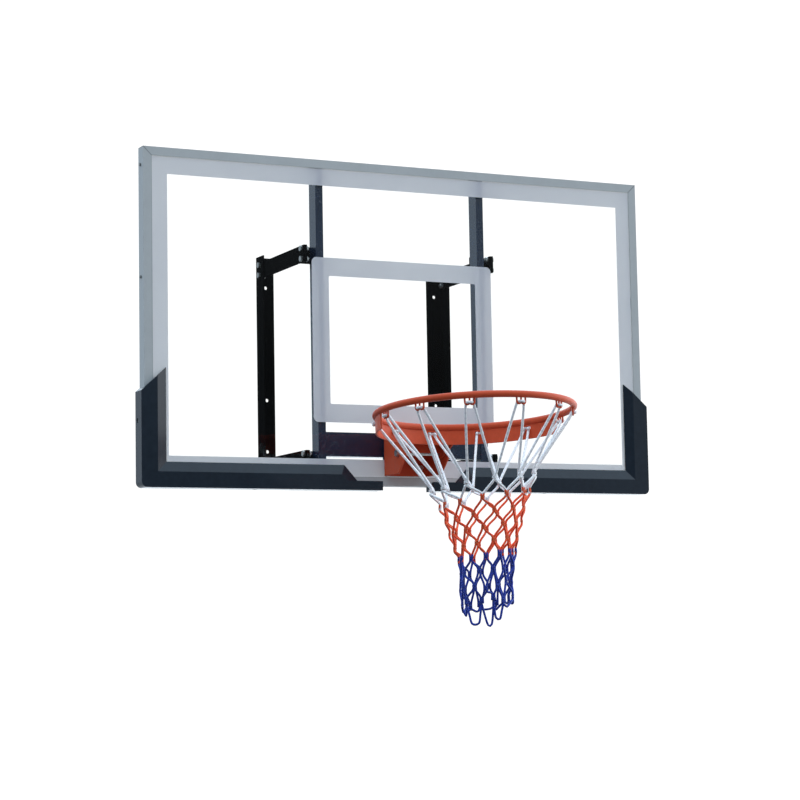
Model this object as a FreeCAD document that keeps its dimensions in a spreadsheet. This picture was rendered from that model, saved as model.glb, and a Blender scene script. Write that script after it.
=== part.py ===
"""Wall-mounted basketball backboard with a sprung rim, as a parametric document in millimetres.

X runs to the right as seen by a player, Y towards the wall, Z up. The wall plane is Y = 0, and the
origin is the middle of the wall screw pattern.
"""
import FreeCAD, Part
import math
import os
import re
from types import SimpleNamespace

import Sketcher

Vector = FreeCAD.Vector
Rotation = FreeCAD.Rotation
Placement = FreeCAD.Placement

# Driving sizes, in millimetres, degrees and counts
SIZES = {
    # board and frame
    "board_width": 1372,
    "board_height": 810,
    "board_drop": 321,
    "wall_standoff": 322,
    "frame_depth": 34,
    "frame_sheet": 1.6,
    "lip_width": 22,
    "rib_width": 14,
    "panel_thick": 5,
    "panel_edge_gap": 1,
    # corner brackets and clips inside the frame
    "corner_leg": 80,
    "corner_band": 20,
    "corner_sheet": 3,
    "corner_screw_drop": 43,
    "clip_length": 30,
    "clip_reach": 14,
    "clip_rise": 494,
    "screw_r": 2,
    "screw_head_r": 4,
    "screw_head_height": 2.4,
    "screw_length": 10,
    "screw_fit": 0.15,
    # uprights and cross-member
    "tube_face": 20,
    "tube_depth": 40,
    "tube_wall": 2,
    "tube_inset": 214,
    "cross_height": 60,
    "cross_rise": 72,
    "cross_depth": 32,
    "cross_sheet": 3,
    "backing_sheet": 4,
    # corner pads
    "pad_front": 10,
    "pad_side": 11,
    "pad_base": 12,
    "pad_edge": 1.6,
    "pad_bevel": 24,
    "pad_cover_side": 54,
    "pad_cover_base": 50,
    "pad_peak": 276,
    "pad_shoulder": 218,
    "pad_end_top": 170,
    "pad_end_low": 135,
    "pad_tongue_end": 70,
    "pad_tongue_height": 11,
    "pad_corner_r": 14,
    "pad_fit": 0.3,
    "pad_screw_rise": 148,
    "pad_screw_x": 400,
    "pad_recess_r": 6,
    "pad_recess_depth": 4,
    # wall rails, arms and tube brackets
    "rail_leg": 47,
    "rail_sheet": 4,
    "rail_length": 582,
    "rail_corner_x": 268,
    "rail_hole_inset": 25,
    "wall_hole_r": 4.5,
    "wall_hole_end_inset": 78,
    "wall_hole_drop": 80,
    "arm_height": 42,
    "arm_sheet": 5,
    "arm_end_inset": 36,
    "arm_wall_gap": 4,
    "bracket_sheet": 4,
    "arm_nose": 14,
    "arm_bolt_spread": 26,
    "tube_bolt_spread": 16,
    # hexagon fasteners
    "bolt_r": 4,
    "bolt_fit": 0.4,
    "bolt_flats": 13,
    "bolt_head": 5.3,
    "nut_height": 6.5,
    "nut_fit": 0.1,
    "bolt_tail": 3,
    "tube_bolt_length": 16,
    # rim housing, fixed to the board
    "rim_plate_width": 120,
    "rim_plate_height": 115,
    "rim_plate_rise": 25,
    "rim_plate_sheet": 5,
    "rim_bolt_x": 36,
    "rim_bolt_low": 21,
    "rim_bolt_high": 87,
    "cheek_sheet": 4,
    "cheek_foot_reach": 74,
    "cheek_chin_reach": 113,
    "cheek_chin_rise": 34,
    "cheek_nose_reach": 118,
    "cheek_nose_rise": 52,
    "cheek_brow_rise": 100,
    "cheek_brow_reach": 98,
    "pin_reach": 75,
    "pin_rise": 50,
    "pin_r": 5,
    "pin_fit": 0.06,
    "pin_flats": 16,
    "pin_head": 6.4,
    "pin_nut": 8,
    "pin_tail": 4,
    "shelf_rise": 108,
    "shelf_depth": 62,
    "shelf_sheet": 4,
    "stub_r": 6.5,
    "shelf_stub": 12,
    "stop_depth": 24,
    "stop_width": 80,
    "stop_sheet": 4,
    "stop_gap": 0.1,
    # springs
    "spring_x": 26,
    "spring_back": 40,
    "spring_wire": 3.4,
    "spring_mid_r": 10.5,
    "spring_turn_count": 6,
    "spring_gap": 0.3,
    # rim, measured from the hinge pin with the ring level
    "rim_tilt_angle": 4,
    "ring_reach": 302,
    "ring_rise": 54,
    "ring_inner_r": 225,
    "rod_r": 8,
    "band_sheet": 4,
    "band_drop": 43,
    "band_angle": 168,
    "slot_width": 22,
    "slot_height": 7,
    "slot_drop": 16,
    "hook_pitch_angle": 30,
    "hook_loop_r": 5.5,
    "hook_wire_r": 2.2,
    "hook_leg": 8,
    "hook_inset": 3,
    "weld_depth": 2,
    # carrier that joins the ring to the hinge pin
    "lug_sheet": 4,
    "lug_gap": 1.5,
    "boss_r": 14,
    "tail_length": 60,
    "tail_under": 8,
    "tail_sheet": 4,
    "tail_stub": 8,
    "apron_reach": 14,
    "apron_sheet": 4,
    "roof_sheet": 4,
    # net, measured from the middle of the ring
    "net_length": 506,
    "net_mouth_r": 229,
    "net_mouth_drop": 17,
    "net_knot_r": 108,
    "net_knot_drop": 206,
    "net_waist_r": 70,
    "net_waist_drop": 340,
    "net_foot_r": 60,
    "net_wall": 4,
    "net_gap": 0.3,
    # one overrun for every cut
    "overrun": 10,
}

doc = FreeCAD.newDocument("basketball_backboard")
sheet = doc.addObject("Spreadsheet::Sheet", "Sizes")
for row, (alias, number) in enumerate(SIZES.items(), start=1):
    sheet.set(f"A{row}", alias)
    sheet.set(f"B{row}", str(number))
    sheet.setAlias(f"B{row}", alias)
doc.recompute()
size = SimpleNamespace(**{alias: float(sheet.get(alias)) for alias in SIZES})

# Places worked out from the sizes, as expressions
FRONT = "(-wall_standoff)"
BOTTOM = "(-board_drop)"
TOP = "(board_height - board_drop)"
PANEL_FRONT = f"({FRONT} + frame_sheet)"
PANEL_BACK = f"({PANEL_FRONT} + panel_thick)"
RIB_BACK = f"({PANEL_BACK} + frame_sheet)"
TUBE_BACK = f"({RIB_BACK} + tube_depth)"
CROSS_FRONT = f"({PANEL_BACK} + backing_sheet)"
RIM_FRONT = f"({PANEL_FRONT} - rim_plate_sheet)"
RIM_FOOT = f"({BOTTOM} + rim_plate_rise)"
PIN_Y = f"({RIM_FRONT} - pin_reach)"
PIN_Z = f"({RIM_FOOT} + pin_rise)"
RING_MID_R = "(ring_inner_r + rod_r)"
BAND_OUTER_R = f"({RING_MID_R} + band_sheet / 2)"
BAND_INNER_R = f"({RING_MID_R} - band_sheet / 2)"
TILT_SIN = "sin(rim_tilt_angle * 1 deg)"
TILT_COS = "cos(rim_tilt_angle * 1 deg)"
RING_Y = f"({PIN_Y} - ring_reach * {TILT_COS} + ring_rise * {TILT_SIN})"
RING_Z = f"({PIN_Z} + ring_reach * {TILT_SIN} + ring_rise * {TILT_COS})"
LUG_OUTER = "(rim_plate_width / 2 - cheek_sheet - lug_gap)"
LUG_INNER = f"({LUG_OUTER} - lug_sheet)"
BRACKET_OUTER = "(rail_corner_x - rail_sheet - arm_sheet)"
HOOK_DROP = "(rod_r + hook_leg + hook_loop_r + hook_wire_r)"
BOLT_HOLE_R = "(bolt_r + bolt_fit)"

TURN_TO = {
    "+x": Rotation(Vector(0, 1, 0), 90),
    "-x": Rotation(Vector(0, 1, 0), -90),
    "+y": Rotation(Vector(1, 0, 0), -90),
    "-y": Rotation(Vector(1, 0, 0), 90),
    "+z": Rotation(),
    "-z": Rotation(Vector(1, 0, 0), 180),
}
HEX_SIDES = 6
HALF_TURN = 180
nodes = {}


def formula(text):
    """Write an expression with every size name pointing at the sheet."""
    return re.sub(r"[a-z]\w*", lambda word: f"Sizes.{word[0]}" if word[0] in SIZES else word[0], text)


def bind(thing, **properties):
    """Bind properties of a document object to expressions."""
    for prop, text in properties.items():
        thing.setExpression(prop.replace("__", "."), formula(text))
    return thing


def place(thing, at=("0", "0", "0"), turn=None):
    """Set a fixed turn and bind the three coordinates of a placement."""
    thing.Placement = Placement(Vector(), turn or Rotation())
    return bind(thing, Placement__Base__x=at[0], Placement__Base__y=at[1], Placement__Base__z=at[2])


def box(spans):
    """A box from three (low, high) expressions, along X, Y and Z."""
    thing = doc.addObject("Part::Box", "Box")
    lengths = [f"({high}) - ({low})" for low, high in spans]
    bind(thing, Length=lengths[0], Width=lengths[1], Height=lengths[2])
    return place(thing, [low for low, high in spans])


def cylinder(radius, length, at, towards="+z"):
    thing = doc.addObject("Part::Cylinder", "Cylinder")
    bind(thing, Radius=radius, Height=length)
    return place(thing, at, TURN_TO[towards])


def hexagon(flats, height, at, towards="+z"):
    thing = doc.addObject("Part::Prism", "Hexagon")
    thing.Polygon = HEX_SIDES
    bind(thing, Circumradius=f"{flats} / sqrt(3)", Height=height)
    return place(thing, at, TURN_TO[towards])


def fuse(parts):
    thing = doc.addObject("Part::MultiFuse", "Fuse")
    thing.Shapes = parts
    return thing


def cut(base, tools):
    thing = doc.addObject("Part::Cut", "Cut")
    thing.Base = base
    thing.Tool = tools[0] if len(tools) == 1 else fuse(tools)
    return thing


def group(parts):
    thing = doc.addObject("Part::Compound", "Group")
    thing.Links = parts
    return thing


def mirror(source):
    """The same piece on the other side of the middle plane."""
    thing = doc.addObject("Part::Mirroring", "Mirror")
    thing.Source = source
    thing.Normal = Vector(1, 0, 0)
    return thing


def node(label, thing):
    thing.Label = label
    nodes[label] = thing
    return thing


def pair(name, right):
    """Name a piece of the right side and its mirror image on the left."""
    node(f"right_{name}", right)
    node(f"left_{name}", mirror(right))


def origin_plane(body, role):
    return next(plane for plane in body.Origin.OriginFeatures if plane.Role == role)


def outline_body(role, points):
    """A body with one closed outline of straight edges; each corner is held by two bound distances."""
    body = doc.addObject("PartDesign::Body", "Body")
    sketch = body.newObject("Sketcher::SketchObject", "Outline")
    sketch.AttachmentSupport = (origin_plane(body, role), [""])
    sketch.MapMode = "FlatFace"
    count = len(points)
    around = [Rotation(Vector(0, 0, 1), 360 * i / count).multVec(Vector(1, 0, 0)) for i in range(count)]
    for i in range(count):
        sketch.addGeometry(Part.LineSegment(around[i], around[(i + 1) % count]))
    for i in range(count):
        sketch.addConstraint(Sketcher.Constraint("Coincident", i, 2, (i + 1) % count, 1))
    for i, corner in enumerate(points):
        for kind, axis, text in zip(("DistanceX", "DistanceY"), (-2, -1), corner):
            if text == "0":
                sketch.addConstraint(Sketcher.Constraint("PointOnObject", i, 1, axis))
                continue
            index = sketch.addConstraint(Sketcher.Constraint(kind, -1, 1, i, 1, 1.0))
            bind(sketch, **{f"Constraints[{index}]": text})
    return body, sketch


def plate(role, points, thickness, at, turn=None):
    """A flat piece: an outline on an origin plane, padded by its thickness, at a place."""
    body, sketch = outline_body(role, points)
    pad = body.newObject("PartDesign::Pad", "Pad")
    pad.Profile = sketch
    bind(pad, Length=thickness)
    return place(body, at, turn)


def hex_bolt(seat, towards, length, radius="bolt_r", flats="bolt_flats", head="bolt_head"):
    """A hexagon bolt whose head sits on seat and whose shank runs on from it."""
    away = {"+": "-", "-": "+"}[towards[0]] + towards[1]
    shank = cylinder(radius, length, seat, towards)
    return fuse([hexagon(flats, head, seat, away), shank])


def hex_nut(seat, towards, radius="bolt_r", flats="bolt_flats", height="nut_height"):
    """A hexagon nut on seat, with a clear bore for its bolt."""
    bore = cylinder(f"{radius} + nut_fit", height, seat, towards)
    return cut(hexagon(flats, height, seat, towards), [bore])


def pan_screw(seat, towards):
    away = {"+": "-", "-": "+"}[towards[0]] + towards[1]
    head = cylinder("screw_head_r", "screw_head_height", seat, away)
    return fuse([head, cylinder("screw_r", "screw_length", seat, towards)])


def bolt_hole(at, towards):
    """A clearance hole for a hexagon bolt, cut both ways from a point on its axis."""
    reach = "(rail_leg + overrun)"
    start = list(at)
    axis = "xyz".index(towards[1])
    start[axis] = f"({at[axis]}) - {reach}"
    return cylinder(BOLT_HOLE_R, f"2 * {reach}", start, f"+{towards[1]}")


# Rim bolt places, shared by the housing, panel, backing plate and cross-member
RIM_BOLTS = [
    (f"{side} * rim_bolt_x", f"{RIM_FOOT} + {rise}")
    for side in (-1, 1)
    for rise in ("rim_bolt_low", "rim_bolt_high")
]


def rim_bolt_holes():
    return [bolt_hole((x, PANEL_FRONT, z), "+y") for x, z in RIM_BOLTS]


def make_panel():
    """The clear board itself, held all round between the frame's lip and rib."""
    edge = "(frame_sheet + panel_edge_gap)"
    half = f"(board_width / 2 - {edge})"
    slab = box([(f"-{half}", half), (PANEL_FRONT, PANEL_BACK), (f"{BOTTOM} + {edge}", f"{TOP} - {edge}")])
    node("board_panel", cut(slab, rim_bolt_holes()))


def frame_rail(length, turn, at):
    """One mitred side of the frame: front lip, outer web and the rib behind the panel."""
    run = (f"-{length} / 2", f"{length} / 2")
    behind_panel = "frame_sheet + panel_thick"
    lip = box([run, ("0", "frame_sheet"), ("-lip_width", "0")])
    web = box([run, ("0", "frame_depth"), ("-frame_sheet", "0")])
    rib = box([run, (behind_panel, f"{behind_panel} + frame_sheet"), ("-rib_width", "0")])
    mitre = doc.addObject("Part::Wedge", "Mitre")
    bind(mitre, Xmin=run[0], Xmax=run[1], X2min=f"{run[0]} + lip_width", X2max=f"{run[1]} - lip_width")
    bind(mitre, Ymin="0", Ymax="lip_width", Zmin="0", Zmax="frame_depth", Z2min="0", Z2max="frame_depth")
    place(mitre, turn=TURN_TO["+y"])
    rail = doc.addObject("Part::Common", "Rail")
    rail.Base = fuse([lip, web, rib])
    rail.Tool = mitre
    return place(rail, at, turn)


# Places of the screws through the frame's webs
CORNER_SCREW_Z = f"({TOP} - corner_screw_drop)"
CORNER_SCREW_X = "(board_width / 2 - corner_screw_drop)"
CLIP_Z = f"({BOTTOM} + clip_rise)"
SCREW_Y = f"({RIB_BACK} + corner_band / 2)"
PAD_SCREW_Z = f"({BOTTOM} + pad_screw_rise)"


def screw_hole(at, towards, length="2 * (pad_base + overrun)"):
    start = list(at)
    axis = "xyz".index(towards[1])
    start[axis] = f"({at[axis]}) - ({length}) / 2"
    return cylinder("screw_r + screw_fit", length, start, f"+{towards[1]}")


def make_frame():
    side_x = "board_width / 2"
    middle = (side_x, FRONT, f"({TOP} + {BOTTOM}) / 2")
    right = frame_rail("board_height", TURN_TO["+x"], middle)
    heights = (CORNER_SCREW_Z, CLIP_Z, PAD_SCREW_Z)
    pair("frame_rail", cut(right, [screw_hole((side_x, SCREW_Y, z), "+x") for z in heights]))
    top = frame_rail("board_width", Rotation(), ("0", FRONT, TOP))
    holes = [screw_hole((f"{side} * {CORNER_SCREW_X}", SCREW_Y, TOP), "+z") for side in (-1, 1)]
    node("top_frame_rail", cut(top, holes))
    low = frame_rail("board_width", Rotation(Vector(0, 1, 0), 180), ("0", FRONT, BOTTOM))
    holes = [screw_hole((f"{side} * pad_screw_x", SCREW_Y, BOTTOM), "+z") for side in (-1, 1)]
    node("bottom_frame_rail", cut(low, holes))


def make_frame_insides():
    """Flat corner brackets in the upper corners and a clip halfway up each side, with their screws."""
    inner_x = "(board_width / 2 - frame_sheet)"
    inner_z = f"({TOP} - frame_sheet)"
    depth = (RIB_BACK, f"{RIB_BACK} + corner_band")
    upright = box([(f"{inner_x} - corner_sheet", inner_x), depth, (f"{inner_z} - corner_leg", inner_z)])
    level = box([(f"{inner_x} - corner_leg", inner_x), depth, (f"{inner_z} - corner_sheet", inner_z)])
    holes = [
        screw_hole((inner_x, SCREW_Y, CORNER_SCREW_Z), "+x"),
        screw_hole((CORNER_SCREW_X, SCREW_Y, inner_z), "+z"),
    ]
    pair("corner_bracket", cut(fuse([upright, level]), holes))
    clip_span = (f"{CLIP_Z} - clip_length / 2", f"{CLIP_Z} + clip_length / 2")
    clip = box([(f"{inner_x} - clip_reach", inner_x), depth, clip_span])
    pair("panel_clip", cut(clip, [screw_hole((inner_x, SCREW_Y, CLIP_Z), "+x")]))
    screws = []
    for side, inward in ((1, "-x"), (-1, "+x")):
        for z in (CORNER_SCREW_Z, CLIP_Z):
            screws.append(pan_screw((f"{side} * board_width / 2", SCREW_Y, z), inward))
        screws.append(pan_screw((f"{side} * {CORNER_SCREW_X}", SCREW_Y, TOP), "-z"))
    node("frame_screws", group(screws))


TUBE_MID_X = "(tube_inset + tube_face / 2)"
TUBE_OUTER = "(tube_inset + tube_face)"
TUBE_MID_Y = f"({TUBE_BACK} - tube_depth / 2)"
ARM_RISE = "(rail_length / 2 - arm_end_inset)"
ARM_HEIGHTS = {"upper": ARM_RISE, "lower": f"-{ARM_RISE}"}
WALL_HOLE_RISE = "(rail_length / 2 - wall_hole_end_inset)"
WALL_HOLE_HEIGHTS = (WALL_HOLE_RISE, "-wall_hole_drop", f"-{WALL_HOLE_RISE}")


def tube_bolt_places(height):
    """Two bolts, one above the other, hold a bracket to the back of its upright."""
    return [(TUBE_MID_X, TUBE_BACK, f"{height} + {side} * tube_bolt_spread / 2") for side in (-1, 1)]


def tube_bolt_holes(height):
    """Holes from inside an upright through its back wall and the near leg of its bracket."""
    length = "tube_depth / 2 + 2 * bracket_sheet"
    return [cylinder(BOLT_HOLE_R, length, (x, TUBE_MID_Y, z), "+y") for x, y, z in tube_bolt_places(height)]


def make_uprights():
    low = f"{BOTTOM} + frame_sheet"
    high = f"{TOP} - frame_sheet"
    outside = box([("tube_inset", TUBE_OUTER), (RIB_BACK, TUBE_BACK), (low, high)])
    hollow = [
        ("tube_inset + tube_wall", f"{TUBE_OUTER} - tube_wall"),
        (f"{RIB_BACK} + tube_wall", f"{TUBE_BACK} - tube_wall"),
        (f"{low} - overrun", f"{high} + overrun"),
    ]
    tools = [box(hollow)]
    for height in ARM_HEIGHTS.values():
        tools += tube_bolt_holes(height)
    pair("upright_tube", cut(outside, tools))


def make_cross_member():
    """A channel between the uprights, open to the back, with the rim's upper bolts through its web."""
    low = f"({BOTTOM} + cross_rise)"
    high = f"({low} + cross_height)"
    outside = box([("-tube_inset", "tube_inset"), (CROSS_FRONT, f"{CROSS_FRONT} + cross_depth"), (low, high)])
    hollow = box([
        ("-tube_inset - overrun", "tube_inset + overrun"),
        (f"{CROSS_FRONT} + cross_sheet", f"{CROSS_FRONT} + cross_depth + overrun"),
        (f"{low} + cross_sheet", f"{high} - cross_sheet"),
    ])
    node("cross_member", cut(outside, [hollow] + rim_bolt_holes()))
    half = "rim_plate_width / 2"
    plate_span = (RIM_FOOT, f"{RIM_FOOT} + rim_plate_height")
    backing = box([(f"-{half}", half), (PANEL_BACK, CROSS_FRONT), plate_span])
    node("rim_backing_plate", cut(backing, rim_bolt_holes()))


def make_pads():
    """Moulded pads round the lower corners: front plate with a bevelled inner edge, side and base walls."""
    outer_x = "(board_width / 2 + pad_side)"
    inner_x = "(board_width / 2 - pad_cover_side)"
    base_z = "pad_base"
    outline = [
        ("pad_tongue_end", "0"),
        (outer_x, "0"),
        (outer_x, f"{base_z} + pad_shoulder"),
        (inner_x, f"{base_z} + pad_peak"),
        (inner_x, f"{base_z} + pad_cover_base"),
        ("pad_end_top", f"{base_z} + pad_cover_base"),
        ("pad_end_low", f"{base_z} + pad_tongue_height"),
        ("pad_tongue_end", f"{base_z} + pad_tongue_height"),
    ]
    body, sketch = outline_body("XZ_Plane", outline)
    block = body.newObject("PartDesign::Pad", "Block")
    block.Profile = sketch
    bind(block, Length="pad_front + frame_depth")
    place(body, ("0", f"{FRONT} + frame_depth", f"{BOTTOM} - {base_z}"))
    doc.recompute()
    depth = size.pad_front + size.frame_depth
    inner_edge_x = size.board_width / 2 - size.pad_cover_side
    cover_z = size.pad_base + size.pad_cover_base
    peak_z = size.pad_base + size.pad_peak
    tongue_z = size.pad_base + size.pad_tongue_height
    bevelled = [
        Vector(inner_edge_x, -depth, (cover_z + peak_z) / 2),
        Vector((inner_edge_x + size.pad_end_top) / 2, -depth, cover_z),
        Vector((size.pad_end_top + size.pad_end_low) / 2, -depth, (cover_z + tongue_z) / 2),
    ]
    bevel = body.newObject("PartDesign::Chamfer", "Bevel")
    bevel.Base = (block, [edge_at(block.Shape, middle) for middle in bevelled])
    bevel.ChamferType = "Two distances"
    bind(bevel, Size="pad_front - pad_edge", Size2="pad_bevel")
    doc.recompute()
    outer_corner = Vector(size.board_width / 2 + size.pad_side, -depth / 2, 0)
    rounding = body.newObject("PartDesign::Fillet", "Rounding")
    rounding.Base = (bevel, [edge_at(bevel.Shape, outer_corner)])
    bind(rounding, Radius="pad_corner_r")
    frame_room = box([
        ("0", "board_width / 2 + pad_fit"),
        (FRONT, f"{FRONT} + frame_depth + overrun"),
        (f"{BOTTOM} - pad_fit", TOP),
    ])
    side_seat = f"({outer_x} - pad_recess_depth)"
    base_seat = f"({BOTTOM} - pad_base + pad_recess_depth)"
    tools = [
        frame_room,
        screw_hole((side_seat, SCREW_Y, PAD_SCREW_Z), "+x"),
        screw_hole(("pad_screw_x", SCREW_Y, base_seat), "+z"),
        cylinder("pad_recess_r", "pad_recess_depth", (side_seat, SCREW_Y, PAD_SCREW_Z), "+x"),
        cylinder("pad_recess_r", "pad_recess_depth", ("pad_screw_x", SCREW_Y, base_seat), "-z"),
    ]
    pair("corner_pad", cut(body, tools))
    screws = []
    for side, inward in ((1, "-x"), (-1, "+x")):
        screws.append(pan_screw((f"{side} * {side_seat}", SCREW_Y, PAD_SCREW_Z), inward))
        screws.append(pan_screw((f"{side} * pad_screw_x", SCREW_Y, base_seat), "+z"))
    node("pad_screws", group(screws))


def edge_at(shape, middle):
    """Name of the edge whose middle lies nearest to a point."""
    distances = [(edge.CenterOfMass - middle).Length for edge in shape.Edges]
    return f"Edge{distances.index(min(distances)) + 1}"


def make_wall_rails():
    """Angle bars that lie on the wall, with their outer legs standing forward for the arms."""
    outline = [
        ("0", "0"),
        ("rail_leg", "0"),
        ("rail_leg", "rail_leg"),
        ("rail_leg - rail_sheet", "rail_leg"),
        ("rail_leg - rail_sheet", "rail_sheet"),
        ("0", "rail_sheet"),
    ]
    corner = ("rail_corner_x - rail_leg", "0", "rail_length / 2")
    angle = plate("XY_Plane", outline, "rail_length", corner, TURN_TO["-z"])
    holes = []
    for height in WALL_HOLE_HEIGHTS:
        start = ("rail_corner_x - rail_hole_inset", "-rail_sheet - overrun", height)
        holes.append(cylinder("wall_hole_r", "rail_sheet + 2 * overrun", start, "+y"))
    for height in ARM_HEIGHTS.values():
        holes += [bolt_hole(at, "+x") for at in rail_bolt_places(height)]
    pair("wall_rail", cut(angle, holes))


def arm_bolt_heights(height):
    return [f"{height} + {side} * arm_bolt_spread / 2" for side in (-1, 1)]


def rail_bolt_places(height):
    return [("rail_corner_x", "-rail_leg / 2", z) for z in arm_bolt_heights(height)]


def bracket_bolt_places(height):
    return [(BRACKET_OUTER, TUBE_MID_Y, z) for z in arm_bolt_heights(height)]


def make_arms():
    """Four flat arms, each bolted to a wall rail at its back end and to an angle behind an upright."""
    for level, height in ARM_HEIGHTS.items():
        tall = (f"{height} - arm_height / 2", f"{height} + arm_height / 2")
        arm_x = (BRACKET_OUTER, f"{BRACKET_OUTER} + arm_sheet")
        front = f"({TUBE_MID_Y} - arm_nose)"
        bar = box([arm_x, (front, "-rail_sheet - arm_wall_gap"), tall])
        places = rail_bolt_places(height) + bracket_bolt_places(height)
        pair(f"{level}_arm", cut(bar, [bolt_hole(at, "+x") for at in places]))
        outside = box([("tube_inset", BRACKET_OUTER), (front, f"{TUBE_BACK} + bracket_sheet"), tall])
        hollow = box([
            ("tube_inset - overrun", f"{BRACKET_OUTER} - bracket_sheet"),
            (f"{front} - overrun", TUBE_BACK),
            (f"{tall[0]} - overrun", f"{tall[1]} + overrun"),
        ])
        holes = tube_bolt_holes(height)
        for x, y, z in bracket_bolt_places(height):
            start = (f"{x} - 2 * bracket_sheet", y, z)
            holes.append(cylinder(BOLT_HOLE_R, "2 * bracket_sheet + arm_sheet", start, "+x"))
        pair(f"{level}_tube_bracket", cut(outside, [hollow] + holes))


def make_arm_fasteners():
    bolts = []
    nuts = []
    tube_bolts = []
    tube_nuts = []
    beyond = "arm_sheet + nut_height + bolt_tail"
    for side, inward in ((1, "-x"), (-1, "+x")):
        for height in ARM_HEIGHTS.values():
            for x, y, z in rail_bolt_places(height):
                bolts.append(hex_bolt((f"{side} * {x}", y, z), inward, f"rail_sheet + {beyond}"))
                nuts.append(hex_nut((f"{side} * {BRACKET_OUTER}", y, z), inward))
            for x, y, z in bracket_bolt_places(height):
                seat = f"{side} * ({BRACKET_OUTER} + arm_sheet)"
                bolts.append(hex_bolt((seat, y, z), inward, f"bracket_sheet + {beyond}"))
                nuts.append(hex_nut((f"{side} * ({BRACKET_OUTER} - bracket_sheet)", y, z), inward))
            for x, y, z in tube_bolt_places(height):
                seat = (f"{side} * {x}", f"{y} + bracket_sheet", z)
                tube_bolts.append(hex_bolt(seat, "-y", "tube_bolt_length"))
                tube_nuts.append(hex_nut((f"{side} * {x}", f"{y} - tube_wall", z), "-y"))
    node("arm_bolts", group(bolts))
    node("arm_nuts", group(nuts))
    node("tube_bolts", group(tube_bolts))
    node("tube_weld_nuts", group(tube_nuts))


def make_rim_housing():
    """The fixed half of the rim: plate on the board, two cheeks, spring shelf and stop."""
    half = "(rim_plate_width / 2)"
    inside = f"({half} - cheek_sheet)"
    top = f"{RIM_FOOT} + rim_plate_height"
    back = box([(f"-{half}", half), (RIM_FRONT, PANEL_FRONT), (RIM_FOOT, top)])
    node("rim_plate", cut(back, rim_bolt_holes()))
    profile = [
        ("0", "0"),
        ("cheek_foot_reach", "0"),
        ("cheek_chin_reach", "cheek_chin_rise"),
        ("cheek_nose_reach", "cheek_nose_rise"),
        ("cheek_nose_reach", "cheek_brow_rise"),
        ("cheek_brow_reach", "rim_plate_height"),
        ("0", "rim_plate_height"),
    ]
    forward = Rotation(Vector(0, 0, 1), -90)
    cheek = plate("XZ_Plane", profile, "cheek_sheet", (half, RIM_FRONT, RIM_FOOT), forward)
    pin_hole = cylinder("pin_r + pin_fit", "rim_plate_width", ("0", PIN_Y, PIN_Z), "+x")
    pair("rim_cheek", cut(cheek, [pin_hole]))
    across = (f"-{inside}", inside)
    shelf_low = f"({RIM_FOOT} + shelf_rise)"
    shelf_y = (f"{RIM_FRONT} - shelf_depth", RIM_FRONT)
    shelf = [box([across, shelf_y, (shelf_low, f"{shelf_low} + shelf_sheet")])]
    for side in (-1, 1):
        top_of_spring = (f"{side} * spring_x", f"{PIN_Y} + spring_back", shelf_low)
        shelf.append(cylinder("stub_r", "shelf_stub", top_of_spring, "-z"))
    node("spring_shelf", fuse(shelf))
    tail_drop = f"tail_length * {TILT_SIN} - tail_under * {TILT_COS}"
    stop_top = f"({PIN_Z} - ({tail_drop}) - stop_gap)"
    stop_x = ("-stop_width / 2", "stop_width / 2")
    stop = box([stop_x, (f"{RIM_FRONT} - stop_depth", RIM_FRONT), (f"{stop_top} - stop_sheet", stop_top)])
    node("rim_stop", stop)


def make_rim_fasteners():
    half = "(rim_plate_width / 2)"
    pin_length = "rim_plate_width + pin_nut + pin_tail"
    pin = hex_bolt((f"-{half}", PIN_Y, PIN_Z), "+x", pin_length, "pin_r", "pin_flats", "pin_head")
    node("hinge_pin", pin)
    node("hinge_nut", hex_nut((half, PIN_Y, PIN_Z), "+x", "pin_r", "pin_flats", "pin_nut"))
    clamp = "rim_plate_sheet + panel_thick + backing_sheet"
    bolts = []
    nuts = []
    for x, z in RIM_BOLTS:
        upper = "rim_bolt_high" in z
        web = "cross_sheet" if upper else "0"
        nut_y = f"{CROSS_FRONT} + {web}"
        bolts.append(hex_bolt((x, RIM_FRONT, z), "+y", f"{clamp} + {web} + nut_height + bolt_tail"))
        nuts.append(hex_nut((x, nut_y, z), "+y"))
    node("rim_bolts", group(bolts))
    node("rim_nuts", group(nuts))


def helix_point(turn, radius, pitch):
    angle = 2 * math.pi * turn
    return Vector(radius * math.cos(angle), radius * math.sin(angle), pitch * turn)


def helix_heading(turn, radius, pitch):
    angle = 2 * math.pi * turn
    heading = Vector(-radius * math.sin(angle), radius * math.cos(angle), pitch / (2 * math.pi))
    return heading.normalize()


def arc_edge(start, heading, end):
    """The arc that leaves start along heading and passes through end."""
    span = (end - start).Length
    toward = ((end - start).normalize() + heading).normalize()
    middle = start + toward * (span / (2 * toward.dot((end - start).normalize())))
    return Part.Arc(start, middle, end).toShape()


def biarc(start, start_heading, end, end_heading):
    """Two arcs from start to end that agree with both headings."""
    chord = end - start
    spread = start_heading + end_heading
    a = spread.dot(spread) - 4
    b = -2 * chord.dot(spread)
    c = chord.dot(chord)
    reach = (-b - math.sqrt(b * b - 4 * a * c)) / (2 * a)
    joint = ((start + start_heading * reach) + (end - end_heading * reach)) * 0.5
    joint_heading = ((end - end_heading * reach) - (start + start_heading * reach)).normalize()
    return [arc_edge(start, start_heading, joint), arc_edge(joint, joint_heading, end)]


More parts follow.
